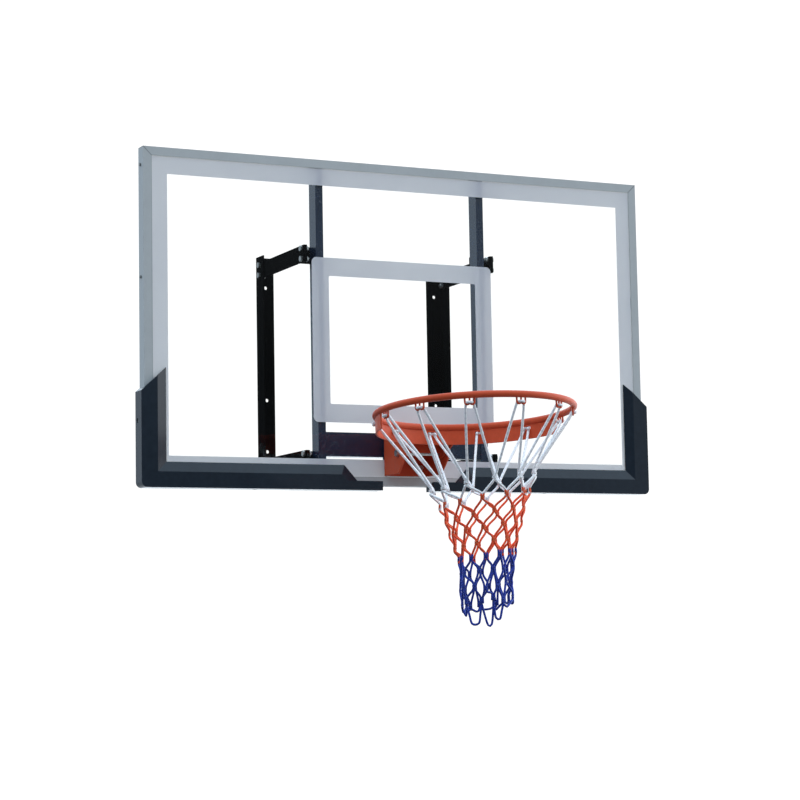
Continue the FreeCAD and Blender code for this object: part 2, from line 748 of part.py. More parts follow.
def make_springs():
    """Two coil springs between the shelf and the tail of the carrier; each is one unbroken wire."""
    lean = math.radians(size.rim_tilt_angle)
    near = size.spring_back - size.spring_mid_r - size.spring_wire / 2
    tail_top = (size.tail_under + size.tail_sheet) * math.cos(lean) - near * math.sin(lean)
    low = size.pin_rise + tail_top + size.spring_gap + size.spring_wire / 2
    high = size.shelf_rise - size.spring_wire / 2
    turns = size.spring_turn_count
    pitch = (high - low) / turns
    radius = size.spring_mid_r
    quarters = int(round(4 * turns))
    edges = []
    for i in range(quarters):
        here, there = i / 4, (i + 1) / 4
        edges += biarc(
            helix_point(here, radius, pitch), helix_heading(here, radius, pitch),
            helix_point(there, radius, pitch), helix_heading(there, radius, pitch),
        )
    path = Part.Wire(edges)
    start = (helix_point(0, radius, pitch), helix_heading(0, radius, pitch))
    section = Part.Wire(Part.makeCircle(size.spring_wire / 2, *start))
    coil = path.makePipeShell([section], True, False)
    points = [helix_point(i / 16, radius, pitch) for i in range(4 * quarters + 1)]
    apart = [
        (a - b).Length
        for i, a in enumerate(points)
        for j, b in enumerate(points)
        if j - i >= 8
    ]
    print("spring: least gap to itself %.2f mm, pitch %.2f mm" % (min(apart) - size.spring_wire, pitch))
    foot_z = size.rim_plate_rise - size.board_drop
    plate_y = -size.wall_standoff + size.frame_sheet - size.rim_plate_sheet
    spring_y = plate_y - size.pin_reach + size.spring_back
    for name, side in (("left_spring", -1), ("right_spring", 1)):
        spring = doc.addObject("Part::Feature", "Spring")
        spring.Shape = coil
        spring.Placement = Placement(Vector(side * size.spring_x, spring_y, foot_z + low), Rotation())
        node(name, spring)


def tilt(thing, at):
    """Turn a piece up by the ring's tilt at rest and carry its own origin to a place."""
    thing.Placement = Placement(Vector(), Rotation(Vector(-1, 0, 0), 1))
    bind(thing, Placement__Rotation__Angle="rim_tilt_angle")
    return bind(thing, Placement__Base__x=at[0], Placement__Base__y=at[1], Placement__Base__z=at[2])


def on_rim(thing):
    """Carry a piece made about the hinge pin to the pin, turned up with the ring."""
    return tilt(thing, ("0", PIN_Y, PIN_Z))


def spin(thing, angle, at):
    """Turn a piece about the upright axis and carry its own origin to a place."""
    thing.Placement = Placement(Vector(), Rotation(Vector(0, 0, 1), 1))
    bind(thing, Placement__Rotation__Angle=angle)
    return bind(thing, Placement__Base__x=at[0], Placement__Base__y=at[1], Placement__Base__z=at[2])


RING_CENTRE = ("0", "-ring_reach", "ring_rise")


def ring_torus():
    torus = doc.addObject("Part::Torus", "Ring")
    return bind(torus, Radius1=RING_MID_R, Radius2="rod_r")


def make_ring():
    """The ring of round rod and the flat band welded under its back half, slotted for the net."""
    node("rim_ring", tilt(ring_torus(), ("0", RING_Y, RING_Z)))
    low = ("0", "-ring_reach", "ring_rise - band_drop")
    outside = cylinder(BAND_OUTER_R, "band_drop - rod_r / 2", low)
    bind(outside, Angle="band_angle")
    spin(outside, "90 - band_angle / 2", low)
    tools = [cylinder(BAND_INNER_R, "band_drop", low), place(ring_torus(), RING_CENTRE)]
    for step in (-2, -1, 0, 1, 2):
        slot = box([
            ("-slot_width / 2", "slot_width / 2"),
            (f"{BAND_INNER_R} - overrun", f"{BAND_OUTER_R} + overrun"),
            ("-slot_drop - slot_height / 2", "-slot_drop + slot_height / 2"),
        ])
        tools.append(spin(group([slot]), f"{step} * hook_pitch_angle", RING_CENTRE))
    node("rim_band", on_rim(cut(outside, tools)))


def make_hooks():
    """Double wire loops under the front and sides of the ring, which hold the net."""
    hooks = []
    hook_y = f"-({RING_MID_R} - hook_inset)"
    loop_z = "(-rod_r - hook_leg)"
    for step in range(-3, 4):
        wires = []
        for side in (-1, 1):
            loop = doc.addObject("Part::Torus", "Loop")
            loop.Angle3 = HALF_TURN
            bind(loop, Radius1="hook_loop_r", Radius2="hook_wire_r")
            wires.append(place(loop, (f"{side} * hook_loop_r", hook_y, loop_z), TURN_TO["+y"]))
        for side in (-1, 0, 1):
            foot = (f"{side} * 2 * hook_loop_r", hook_y, loop_z)
            wires.append(cylinder("hook_wire_r", "hook_leg + weld_depth", foot))
        hooks.append(spin(fuse(wires), f"{step} * hook_pitch_angle", RING_CENTRE))
    node("net_hooks", on_rim(group(hooks)))


def make_carrier():
    """The moving half of the mount: lugs on the pin, roof and apron to the band, tail under the springs."""
    roof_top = "(ring_rise - rod_r)"
    band_low = "(ring_rise - band_drop)"
    front = "(ring_reach - ring_inner_r)"
    tail_top = "(tail_under + tail_sheet)"
    lug_outline = [
        ("0", f"{band_low} + boss_r"),
        (f"{front} - boss_r", "0"),
        (f"{front} + boss_r", "0"),
        (f"{front} + tail_length", "boss_r"),
        (f"{front} + tail_length", f"boss_r + {tail_top} + tail_sheet / 2"),
        (f"{front} + boss_r", f"boss_r + {roof_top} / 2 + {tail_top} / 2"),
        (f"{front} - apron_reach", f"boss_r + {roof_top}"),
        ("0", f"boss_r + {roof_top}"),
    ]
    lugs = []
    for low_x in (LUG_INNER, f"-{LUG_OUTER}"):
        lugs.append(plate("YZ_Plane", lug_outline, "lug_sheet", (low_x, f"-({front})", "-boss_r")))
    across = (f"-{LUG_OUTER}", LUG_OUTER)
    tail = box([across, ("-apron_reach", "tail_length"), ("tail_under", tail_top)])
    apron = box([across, ("-apron_reach", "apron_sheet - apron_reach"), ("0", roof_top)])
    roof = box([across, (f"-({front})", "apron_sheet - apron_reach"), (f"{roof_top} - roof_sheet", roof_top)])
    foot_of_springs = [(f"{side} * spring_x", "spring_back", tail_top) for side in (-1, 1)]
    stubs = [cylinder("stub_r", "tail_stub", foot) for foot in foot_of_springs]
    pin_hole = cylinder("pin_r + pin_fit", "rim_plate_width", ("-rim_plate_width / 2", "0", "0"), "+x")
    cope = cylinder(BAND_OUTER_R, "2 * boss_r + ring_rise", ("0", "-ring_reach", "-boss_r"))
    node("rim_carrier", on_rim(cut(fuse(lugs + [tail, apron, roof] + stubs), [pin_hole, cope])))


def make_net():
    """The hanging net as one funnel, open at both ends, with its mouth cut under the hooks."""
    head = f"net_length + {HOOK_DROP}"
    outline = [
        ("net_foot_r", "0"),
        ("net_waist_r", "net_length - net_waist_drop"),
        ("net_knot_r", "net_length - net_knot_drop"),
        ("net_mouth_r", "net_length - net_mouth_drop"),
        ("net_mouth_r", head),
        ("net_mouth_r - net_wall", head),
        ("net_mouth_r - net_wall", "net_length - net_mouth_drop"),
        ("net_knot_r - net_wall", "net_length - net_knot_drop"),
        ("net_waist_r - net_wall", "net_length - net_waist_drop"),
        ("net_foot_r - net_wall", "0"),
    ]
    body, sketch = outline_body("XZ_Plane", outline)
    turned = body.newObject("PartDesign::Revolution", "Funnel")
    turned.Profile = sketch
    turned.ReferenceAxis = (sketch, ["V_Axis"])
    place(body, ("0", RING_Y, f"{RING_Z} - net_length"))
    reach = "(net_mouth_r + overrun)"
    above_hooks = box([
        (f"-{reach}", reach),
        (f"-{reach}", reach),
        (f"-{HOOK_DROP} - net_gap", "ring_rise"),
    ])
    node("net", cut(body, [tilt(group([above_hooks]), ("0", RING_Y, RING_Z))]))


make_panel()
make_frame()
make_frame_insides()
make_uprights()
make_cross_member()
make_pads()
make_wall_rails()
make_arms()
make_arm_fasteners()
make_rim_housing()
make_rim_fasteners()
make_springs()
make_ring()
make_hooks()
make_carrier()
make_net()
doc.recompute()

for thing in doc.Objects:
    if "Invalid" in thing.State or "Error" in thing.State:
        raise RuntimeError(f"{thing.Name} ({thing.Label}) failed: {thing.State}")
for label, thing in nodes.items():
    if thing.Shape.isNull() or not thing.Shape.isValid() or not thing.Shape.Solids:
        raise RuntimeError(f"{label} has no valid solid")

os.makedirs("parts", exist_ok=True)
for label, thing in nodes.items():
    thing.Shape.exportStep(f"parts/{label}.step")
    print(label, len(thing.Shape.Solids), "solids", round(thing.Shape.Volume), "mm3", thing.Shape.BoundBox)
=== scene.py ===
import math
import random

import bmesh
import bpy
from bpy.props import FloatProperty, FloatVectorProperty, IntProperty, PointerProperty
from mathutils import Matrix, Vector


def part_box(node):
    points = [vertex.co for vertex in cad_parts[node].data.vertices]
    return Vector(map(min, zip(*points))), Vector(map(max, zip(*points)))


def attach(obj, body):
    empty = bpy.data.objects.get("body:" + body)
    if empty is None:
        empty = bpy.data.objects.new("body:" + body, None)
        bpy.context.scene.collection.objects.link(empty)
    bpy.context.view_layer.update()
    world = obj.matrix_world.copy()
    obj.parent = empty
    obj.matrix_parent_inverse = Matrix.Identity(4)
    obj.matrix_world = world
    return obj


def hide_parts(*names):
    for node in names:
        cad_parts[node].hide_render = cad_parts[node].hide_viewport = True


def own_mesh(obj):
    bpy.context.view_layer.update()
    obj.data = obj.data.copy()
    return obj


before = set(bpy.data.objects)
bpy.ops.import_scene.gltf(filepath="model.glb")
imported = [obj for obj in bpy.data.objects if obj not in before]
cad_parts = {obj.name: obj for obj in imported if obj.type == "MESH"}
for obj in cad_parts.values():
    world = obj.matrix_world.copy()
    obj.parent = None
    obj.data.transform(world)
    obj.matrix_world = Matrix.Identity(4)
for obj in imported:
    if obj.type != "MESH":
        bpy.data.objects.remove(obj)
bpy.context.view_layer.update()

bl_info = {
    "name": "Wall-mounted backboard dressing",
    "version": (1, 0, 0),
    "blender": (4, 5, 0),
    "location": "3D View > Sidebar > Backboard",
    "description": "Finishes, printed lines, springs and knotted net for a wall-mounted backboard",
    "category": "Object",
}

PANEL_LOW, PANEL_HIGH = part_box("board_panel")
PLATE_LOW, PLATE_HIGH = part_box("rim_plate")
FRAME_LOW, FRAME_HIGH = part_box("bottom_frame_rail")[0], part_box("top_frame_rail")[1]
RING_LOW, RING_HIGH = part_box("rim_ring")
RING_MIDDLE = (RING_LOW + RING_HIGH) / 2
TURN = 2 * math.pi
UP = Vector((0, 0, 1))

# Stage: sensor in millimetres, the camera's reach in metres, squares along the floor.
SENSOR_WIDTH, CAMERA_REACH, FLOOR_SQUARES = 36.0, 200.0, 8

# Sky: the parts of a unit direction over which its light changes, and its tints.
SKY_ACROSS = (-0.3, 0.8)
SKY_FORWARD = (-0.90, -0.40)
SKY_ABOVE = (0.12, 0.70)
SKY_BELOW = (-0.50, 0.0)
LEFT_TINT = (0.76, 0.90, 1.05)
RIGHT_TINT = (0.94, 0.98, 1.01)
TOP_TINT = (0.70, 0.87, 1.02)

# Noise patterns: cells to the metre, detail, roughness.
DRIFT = (7.0, 4.0, 0.6)
SPECK = (95.0, 3.0, 0.6)
CHIPS = (140.0, 4.0, 0.65)
RUB = (160.0, 4.0, 0.6)
PLATE_GRAIN = (1500.0, 2.0, 0.5)
FLOW = (9.0, 4.0, 0.6)
SCUFF = (60.0, 5.0, 0.7)
SMEAR = (2.5, 5.0, 0.65)
SHEET_TONE = (1.5, 2.0, 0.5)
CLOUD = (3.0, 4.0, 0.6)
INK_GRAIN = (900.0, 2.0, 0.5)
WASH = (26.0, 4.0, 0.6)
HAIR = (1400.0, 2.0, 0.5)
FLOOR_TONE = (0.6, 4.0, 0.5)

# Paint: reach of the edge marks (wear, painted shade on the frame, a painted highlight on plastic),
# darkness of the frame's joint lines and lip shade, and the colour of dust.
EDGE_REACH = 0.0013
JOINT_SHADE = 0.16
DUST = (0.42, 0.41, 0.39)

# Frame joint lines and painted lip shade: width of the lip, and the half widths between which a line
# fades.
LIP_WIDTH = 0.022
JOINT_LINE = {"start": 0.0006, "end": 0.0026}

# Softened edges, in metres.
FRAME_EDGE, FITTING_EDGE, TUBE_EDGE = 0.0013, 0.0008, 0.0014
PAD_EDGE, MOUNT_EDGE, RIM_EDGE = 0.0020, 0.0009, 0.0007
WELD_GAP = 1e-6
# Angles up to which faces are one, past which a crease is crisp and past which an edge is rounded.
FLAT_ANGLE, CREASE_ANGLE, SHARP_ANGLE = math.radians(0.4), math.radians(15), math.radians(38)

# Plated fasteners: finish, brightness beside new zinc, roughness, pieces.
ZINC_FINISHES = (
    ("zinc_plate", 1.0, 0.30, (
        "arm_nuts", "tube_weld_nuts", "rim_bolts", "rim_nuts", "hinge_pin", "hinge_nut")),
    ("screw_zinc", 0.35, 0.45, ("frame_screws", "pad_screws")),
    ("black_zinc", 0.16, 0.40, ("tube_bolts",)),
    ("worn_zinc", 0.60, 0.36, ("arm_bolts",)),
)

# Print: off the panel, clear of the rim plate, the slant beside the plate, and steps round a corner.
INK_GAP, PLATE_GAP, NOTCH_SLANT, CORNER_STEPS = 0.00004, 0.0005, 0.0003, 6

# Springs: steps in a turn, sides of the wire, and the part of a turn that lies closed at each end.
COIL_STEPS, WIRE_SIDES, CLOSED_TURN = 28, 10, 0.75

# Places of the Mix node's colour inputs and its colour output.
MIX_FIRST, MIX_SECOND, MIX_RESULT = 6, 7, 2

# Net: places it hangs from, sides of a cord, steps along cords, bends and loops in metres.
HOOK_COUNT, CORD_SIDES = 12, 8
CORD_STEP, BRIDGE_STEP, LOOP_STEP = 0.0045, 0.002, 0.004

# Net rows of knots: drop below the ring's middle plane, radius, in metres.
NET_ROWS = (
    (0.168, 0.126),
    (0.206, 0.106),
    (0.240, 0.094),
    (0.273, 0.083),
    (0.307, 0.074),
    (0.340, 0.067),
    (0.375, 0.062),
    (0.410, 0.059),
    (0.443, 0.056),
)
RED_ROW, BLUE_ROW = 1, 5

# Cosine of the angle from the front past which cords go through the band's slots.
BAND_END = -0.3

# A cord's way out of a hook, and in through a slot: share of the spread, out, down, in metres.
HOOK_LEAD = ((1.0, 0.0005, 0.0), (1.3, -0.0052, 0.0020), (2.0, -0.0085, 0.0110))
SLOT_LEAD = ((0.8, 0.0046, 0.0), (1.0, -0.0010, 0.0), (1.1, -0.0062, 0.0034), (1.3, -0.0090, 0.0160))

# The bend of cord outside a hook: share of the spread, out from the radius.
BRIDGE = ((-1, 0.0), (-1, 0.0035), (-0.55, 0.0058), (0.55, 0.0058), (1, 0.0035), (1, 0.0))

# Turns of cord outside a slot: out from the band, length and radius in metres, share of the cord.
STOPPER_OUT, STOPPER_LENGTH, STOPPER_RADIUS, STOPPER_CORD = 0.0072, 0.0125, 0.0026, 0.46
# Their number and steps, and a small angle that gives the way round the ring there.
STOPPER_TURNS, STOPPER_STEPS, SMALL_ANGLE = 2.5, 40, 0.01

# How far a knot strays: the top row's share, and how much more in height than across.
STRAY_TOP, STRAY_HEIGHT = 0.15, 1.2

# Knots, as shares of the cord: cords from the middle, reach up and down, and the binding's sizes.
KNOT_BESIDE, KNOT_REACH = 0.52, 1.3
WRAP_WIDE, WRAP_DEEP, WRAP_RISE, WRAP_TILT, WRAP_CORD = 0.80, 0.46, 0.8, 0.25, 0.22
# The binding's turns, their steps, its sides, and the most that it leans.
WRAP_TURNS, WRAP_STEPS, WRAP_SIDES, WRAP_LEAN = 1.6, 24, 7, 0.5

# Loops at the foot, in metres: shortest, how much longer the longest is, stray, sway, neck and heel.
LOOP_SHORT, LOOP_MORE, LOOP_STRAY, LOOP_SWAY = 0.018, 0.0445, 0.006, 0.008
LOOP_NECK, LOOP_HEEL = 0.008, 0.003
# Loops at the foot, as shares: narrowest and widest, height of the belly, flare there.
LOOP_WIDTHS, LOOP_BELLY, LOOP_FLARE = (0.06, 0.24), 0.55, 0.14


def colour_prop(name, about, value):
    """A colour that a user may change."""
    return FloatVectorProperty(
        name=name, description=about, default=value, size=3, min=0, max=1, subtype="COLOR")


def length_prop(name, about, value):
    """A length in metres that a user may change."""
    return FloatProperty(
        name=name, description=about, default=value, unit="LENGTH", subtype="DISTANCE", precision=5)


def angle_prop(name, about, degrees):
    """An angle, given in degrees, that a user may change."""
    return FloatProperty(
        name=name, description=about, default=math.radians(degrees), unit="ROTATION", subtype="ANGLE")


def share_prop(name, about, value):
    """A share of a whole that a user may change."""
    return FloatProperty(name=name, description=about, default=value, min=0, max=1, subtype="FACTOR")


def light_prop(name, about, value):
    """The brightness of a light that a user may change."""
    return FloatProperty(name=name, description=about, default=value, min=0)


class StageSettings(bpy.types.PropertyGroup):
    """The camera, the floor and the light."""
    camera_place: FloatVectorProperty(
        name="Camera place", description="Where the camera stands",
        default=(-2.4777, -5.5005, -0.7218), size=3, unit="LENGTH", subtype="TRANSLATION")
    camera_yaw: angle_prop("Yaw", "Turn of the view to the right of straight on", 25.436)
    camera_pitch: angle_prop("Pitch", "Tilt of the view upwards", 6.1358)
    camera_roll: angle_prop("Roll", "Roll of the camera about its view", -1.0187)
    lens: FloatProperty(
        name="Lens", description="Focal length in millimetres", default=103.955, unit="CAMERA")
    ring_height: length_prop("Ring height", "Height of the ring above the floor", 3.05)
    floor_side: length_prop("Floor side", "Length of each side of the floor", 50.0)
    floor_colour: colour_prop("Floor", "Pale floor", (0.86, 0.87, 0.88))
    sky_left: light_prop("Light from the left", "Brightness of the light from the left and behind", 0.52)
    sky_right: light_prop("Light from the right", "Brightness of the light from the right", 3.0)
    sky_front: light_prop("Light in front", "Brightness of the light from the viewer's side", 0.10)
    sky_top: light_prop("Light above", "Brightness of the light from above", 1.75)
    sky_low: share_prop("Light below", "Share of the light that comes from below", 0.25)
    backdrop: light_prop("Backdrop", "Brightness of the backdrop", 1.12)


class PrintSettings(bpy.types.PropertyGroup):
    """The translucent white lines printed on the front of the panel."""
    border_half: length_prop("Border half", "From the middle to the side borders' inner edge", 0.6248)
    border_low: length_prop("Border low edge", "Height of the inner edge of the lower border", -0.2563)
    border_high: length_prop("Border high edge", "Height of the inner edge of the upper border", 0.4243)
    under_lip: length_prop("Tuck", "How far the border stops inside the panel's edge", 0.0197)
    target_half: length_prop("Target half", "From the middle to the outer edge of the target", 0.249)
    target_low: length_prop("Target low edge", "Height of the target's lower outer edge", -0.166)
    target_high: length_prop("Target high edge", "Height of the target's upper outer edge", 0.244)
    target_bar: length_prop("Target bar", "Width of the target's line", 0.0456)
    outer_round: length_prop("Outer round", "Radius of the target's outer corners", 0.013)
    inner_round: length_prop("Inner round", "Radius of the target's inner corners", 0.004)
    film: length_prop("Film", "Thickness of the ink film", 0.0002)
    ink: colour_prop("Ink", "Milky white ink", (0.70, 0.71, 0.80))
    glow: colour_prop("Glow", "Light that comes through the ink", (0.90, 0.84, 0.74))
    share: share_prop("Share", "Share of the light that goes through each face of the ink", 0.42)


class FinishSettings(bpy.types.PropertyGroup):
    """The colours of the paints, plastics and metals."""
    frame_paint: colour_prop("Frame paint", "Grey-blue paint of the frame rails", (0.485, 0.495, 0.495))
    tube_paint: colour_prop("Tube paint", "Dark paint of the uprights", (0.007, 0.019, 0.046))
    mount_paint: colour_prop("Mount paint", "Black paint of the wall bracket", (0.0032, 0.0032, 0.0034))
    rim_paint: colour_prop("Rim paint", "Orange-red paint of the rim", (0.64, 0.086, 0.033))
    pad_plastic: colour_prop("Pad plastic", "Moulded plastic of the corner pads", (0.014, 0.022, 0.033))
    black_plastic: colour_prop("Clip plastic", "Plastic of the panel clips", (0.012, 0.012, 0.013))
    zinc: colour_prop("Zinc", "Plated steel of bolts, nuts and screws", (0.62, 0.62, 0.60))
    spring_steel: colour_prop("Spring steel", "Steel of the coil springs", (0.30, 0.30, 0.31))


class SpringSettings(bpy.types.PropertyGroup):
    """The coil springs in the rim housing."""
    wire: length_prop("Wire", "Diameter of the spring wire", 0.0034)
    turns: IntProperty(name="Turns", description="Turns of wire in each spring", default=6, min=3)
    pressed: share_prop("Pressed", "Share of its height that a spring keeps when the rim is down", 0.44)


class NetSettings(bpy.types.PropertyGroup):
    """The knotted net."""
    cord: length_prop("Cord", "Diameter of the braided cord", 0.0062)
    slender: share_prop("Slender", "Share of the white legs' thickness that the other cords have", 0.90)
    white: colour_prop("White cord", "Cord of the top rows", (0.97, 0.96, 0.98))
    red: colour_prop("Red cord", "Cord of the middle rows", (0.95, 0.115, 0.030))
    blue: colour_prop("Blue cord", "Cord of the bottom rows", (0.016, 0.045, 0.36))
    # Colours of painted shade in the hollows of each cord's braid.
    white_hollow_shade: colour_prop("White fleck", "Hollows of the white cord", (0.78, 0.76, 0.80))
    red_hollow_shade: colour_prop("Red fleck", "Hollows of the red cord", (0.68, 0.045, 0.016))
    blue_hollow_shade: colour_prop("Blue fleck", "Hollows of the blue cord", (0.008, 0.018, 0.16))
    ring_tilt: angle_prop("Ring tilt", "How far the ring points up", 4)
    hook_radius: length_prop("Hook radius", "From the ring's middle to the hooks", 0.230)
    hook_drop: length_prop("Hook drop", "From the ring's middle plane to the cord in a hook", 0.0168)
    hook_half: length_prop("Hook half width", "From a hook's middle to each of its loops", 0.0055)
    slot_radius: length_prop("Slot radius", "From the ring's middle to the band's sheet", 0.231)
    slot_drop: length_prop("Slot drop", "From the ring's middle plane to the band's slots", 0.016)
    slot_half: length_prop("Slot half width", "From a slot's middle to each cord in it", 0.0068)
    lean: FloatProperty(
        name="Lean", description="Slope of the rows of knots from left to right", default=0.15)
    sway_right: length_prop("Sway to the right", "How far the net hangs to the right", 0.017)
    sway_front: length_prop("Sway to the front", "How far the net hangs to the front", 0.010)
    long_side: angle_prop("Long side", "Where the loops at the foot are longest, from the front", -48)
    loose: length_prop("Loose", "How far a knot may stray from its place", 0.0065)
    seed: IntProperty(name="Seed", description="Number that sets how the knots stray", default=11)


def feed(tree, slot, value):
    """Give an input a value, or join a socket to it."""
    if isinstance(value, bpy.types.NodeSocket):
        tree.links.new(value, slot)
    else:
        slot.default_value = value


def put(tree, kind, values=None, **traits):
    """Add a shader node; values go to its inputs, by name or place."""
    made = tree.nodes.new(kind)
    for name, value in traits.items():
        setattr(made, name, value)
    for name, value in (values or {}).items():
        feed(tree, made.inputs[name], value)
    return made


def ramp(tree, factor, stops):
    """A colour for each part of a factor from 0 to 1."""
    made = put(tree, "ShaderNodeValToRGB", {"Fac": factor})
    band = made.color_ramp
    while len(band.elements) < len(stops):
        band.elements.new(1.0)
    for element, (place, colour) in zip(band.elements, stops):
        element.position = place
        element.color = (*colour, 1.0)
    return made.outputs["Color"]


def shade(colour, factor):
    """A colour made lighter or darker."""
    return tuple(min(1.0, part * factor) for part in colour)


def two_tone(tree, factor, colour, dark, light, start=0.3, end=0.7):
    """A colour that goes from darker to lighter as a factor goes from start to end."""
    return ramp(tree, factor, [(start, shade(colour, dark)), (end, shade(colour, light))])


def noise(tree, where, scale, detail, rough):
    """Noise of that many cells to the metre."""
    made = put(tree, "ShaderNodeTexNoise", {
        "Vector": where, "Scale": scale, "Detail": detail, "Roughness": rough})
    return made.outputs["Fac"]


def between(tree, factor, low, high, start=0.3, end=0.7):
    """A number that goes from low to high as a factor goes from start to end."""
    made = put(tree, "ShaderNodeMapRange", {
        "Value": factor, "From Min": start, "From Max": end, "To Min": low, "To Max": high})
    return made.outputs["Result"]


def sums(tree, first, second, operation="ADD"):
    """Two factors joined by arithmetic."""
    return put(tree, "ShaderNodeMath", {0: first, 1: second}, operation=operation).outputs[0]


def size_of(tree, factor):
    """A factor without its sign."""
    return sums(tree, factor, 0.0, "ABSOLUTE")


def mixed(tree, first, second, first_share):
    """Two factors mixed by the first one's share."""
    return sums(tree, sums(tree, first, first_share, "MULTIPLY"),
                sums(tree, second, 1 - first_share, "MULTIPLY"))


def blend_colours(tree, factor, first, second):
    """One colour laid over another by a factor."""
    made = put(tree, "ShaderNodeMix", {0: factor}, data_type="RGBA")
    for place, value in ((MIX_FIRST, first), (MIX_SECOND, second)):
        feed(tree, made.inputs[place], (*value, 1.0) if isinstance(value, tuple) else value)
    return made.outputs[MIX_RESULT]


def bump(tree, height, depth, strength, over=None):
    """A relief of that depth in metres."""
    values = {"Height": height, "Distance": depth, "Strength": strength}
    if over is not None:
        values["Normal"] = over
    return put(tree, "ShaderNodeBump", values).outputs["Normal"]


def new_material(name):
    """A node material: its tree, its shader, and the place on the piece that its patterns follow."""
    made = bpy.data.materials.new(name)
    made.use_nodes = True
    tree = made.node_tree
    shader = tree.nodes["Principled BSDF"]
    where = put(tree, "ShaderNodeTexCoord").outputs["Object"]
    return made, tree, shader, where


def join(tree, shader, **sockets):
    """Join sockets to the shader's inputs, or give these their values, named with underscores."""
    for name, value in sockets.items():
        feed(tree, shader.inputs[name.replace("_", " ")], value)


def show(tree, factor, first, second, output):
    """Let one shader show over another by a factor."""
    both = put(tree, "ShaderNodeMixShader", {0: factor, 1: first, 2: second})
    tree.links.new(both.outputs["Shader"], tree.nodes[output].inputs["Surface"])


def edges_of(tree, where):
    """Broken patches along the edges and folds, where paint wears first; the same mask carries painted
    shade on the frame and a painted highlight on moulded plastic.
    """
    soft = put(tree, "ShaderNodeBevel", {"Radius": EDGE_REACH}, samples=4).outputs["Normal"]
    flat = put(tree, "ShaderNodeNewGeometry").outputs["Normal"]
    turned = put(tree, "ShaderNodeVectorMath", {0: soft, 1: flat}, operation="DOT_PRODUCT")
    near = between(tree, turned.outputs["Value"], 1.0, 0.0, start=0.80, end=0.985)
    patches = between(tree, noise(tree, where, *CHIPS), 0.0, 1.0, start=0.42, end=0.66)
    return sums(tree, near, patches, "MULTIPLY")


def joints_and_lip_shade(tree, where):
    """Dark lines where the frame's mitred ends meet, and painted shade along the edge where its lip lies
    on the panel.
    """
    at = put(tree, "ShaderNodeSeparateXYZ", {"Vector": where}).outputs
    middle = (FRAME_LOW + FRAME_HIGH) / 2
    past_side = sums(tree, size_of(tree, at["X"]), FRAME_HIGH.x, "SUBTRACT")
    past_end = sums(tree, size_of(tree, sums(tree, at["Z"], middle.z, "SUBTRACT")),
                    FRAME_HIGH.z - middle.z, "SUBTRACT")
    off_mitre = size_of(tree, sums(tree, past_side, past_end, "SUBTRACT"))
    off_lip = sums(tree, sums(tree, past_side, past_end, "MAXIMUM"), LIP_WIDTH)
    mitre_line = between(tree, off_mitre, 0.55, 0.0, **JOINT_LINE)
    # Painted shade along the lip's inner edge, where it lies on the panel.
    lip_shade_line = between(tree, off_lip, 0.22, 0.0, **JOINT_LINE)
    return sums(tree, mitre_line, lip_shade_line, "MAXIMUM")


def painted(name, colour, rough, grain, depth, mottle, wear_and_shade, wear_and_shade_share,
            gloss=0.5, dust=0.0, haze=0.07, joints=None):
    """Sprayed paint: drift of colour, fine orange peel, wear at the edges (on the frame also painted
    shade), and a little dust on top.
    """
    made, tree, shader, where = new_material(name)
    drift, speck = noise(tree, where, *DRIFT), noise(tree, where, *SPECK)
    tone = mixed(tree, drift, speck, first_share=0.65)
    coat = two_tone(tree, tone, colour, 1 - mottle, 1 + mottle, start=0.34, end=0.66)
    # Edge wear; the frame's darker edge colour is also painted shade along its edges and folds.
    patches = sums(tree, edges_of(tree, where), wear_and_shade_share, "MULTIPLY")
    coat = blend_colours(tree, patches, coat, wear_and_shade)
    if joints is not None:
        coat = blend_colours(tree, joints(tree, where), coat, shade(colour, JOINT_SHADE))
    if dust:
        facing = put(tree, "ShaderNodeSeparateXYZ", {
            "Vector": put(tree, "ShaderNodeTexCoord").outputs["Normal"]}).outputs["Z"]
        upward = between(tree, facing, 0.0, dust, start=0.35, end=0.95)
        film = sums(tree, upward, between(tree, speck, 0.4, 1.0), "MULTIPLY")
        coat = blend_colours(tree, film, coat, DUST)
    dulled = between(tree, sums(tree, drift, speck, "MULTIPLY"),
                     rough - 0.7 * haze, rough + 1.3 * haze, start=0.15, end=0.35)
    peel = noise(tree, where, grain, detail=2.0, rough=0.4)
    join(tree, shader, Base_Color=coat, Roughness=dulled,
         Normal=bump(tree, peel, depth, strength=0.6), Specular_IOR_Level=gloss)
    return made


def plated(name, colour, rough, spangle=420.0):
    """Plated steel: bright, with fine crystals and rubbed patches."""
    made, tree, shader, where = new_material(name)
    cells = put(tree, "ShaderNodeTexVoronoi", {"Vector": where, "Scale": spangle}).outputs["Distance"]
    rubbed = noise(tree, where, *RUB)
    tone = mixed(tree, cells, rubbed, first_share=0.4)
    grain = noise(tree, where, *PLATE_GRAIN)
    join(tree, shader,
         Base_Color=two_tone(tree, tone, colour, dark=0.72, light=1.12, start=0.2, end=0.6),
         Roughness=between(tree, rubbed, rough - 0.06, rough + 0.12),
         Normal=bump(tree, grain, depth=0.00004, strength=0.5), Metallic=0.92)
    return made


def moulded(name, colour, rough, grain, gloss):
    """Moulded plastic: a fine spark texture, paler at the edges, which is rubbed wear and a painted
    highlight.
    """
    made, tree, shader, where = new_material(name)
    scuff = noise(tree, where, *SCUFF)
    tone = mixed(tree, noise(tree, where, *FLOW), scuff, first_share=0.6)
    skin = two_tone(tree, tone, colour, dark=0.84, light=1.22, start=0.34, end=0.68)
    # Paler edges: rubbed wear and a painted highlight.
    rubbed = sums(tree, edges_of(tree, where), 0.22, "MULTIPLY")
    pits = noise(tree, where, grain, detail=2.0, rough=0.4)
    join(tree, shader, Base_Color=blend_colours(tree, rubbed, skin, shade(colour, 3.2)),
         Roughness=between(tree, scuff, rough - 0.02, rough + 0.03),
         Normal=bump(tree, pits, depth=0.00012, strength=0.06), Specular_IOR_Level=gloss)
    return made


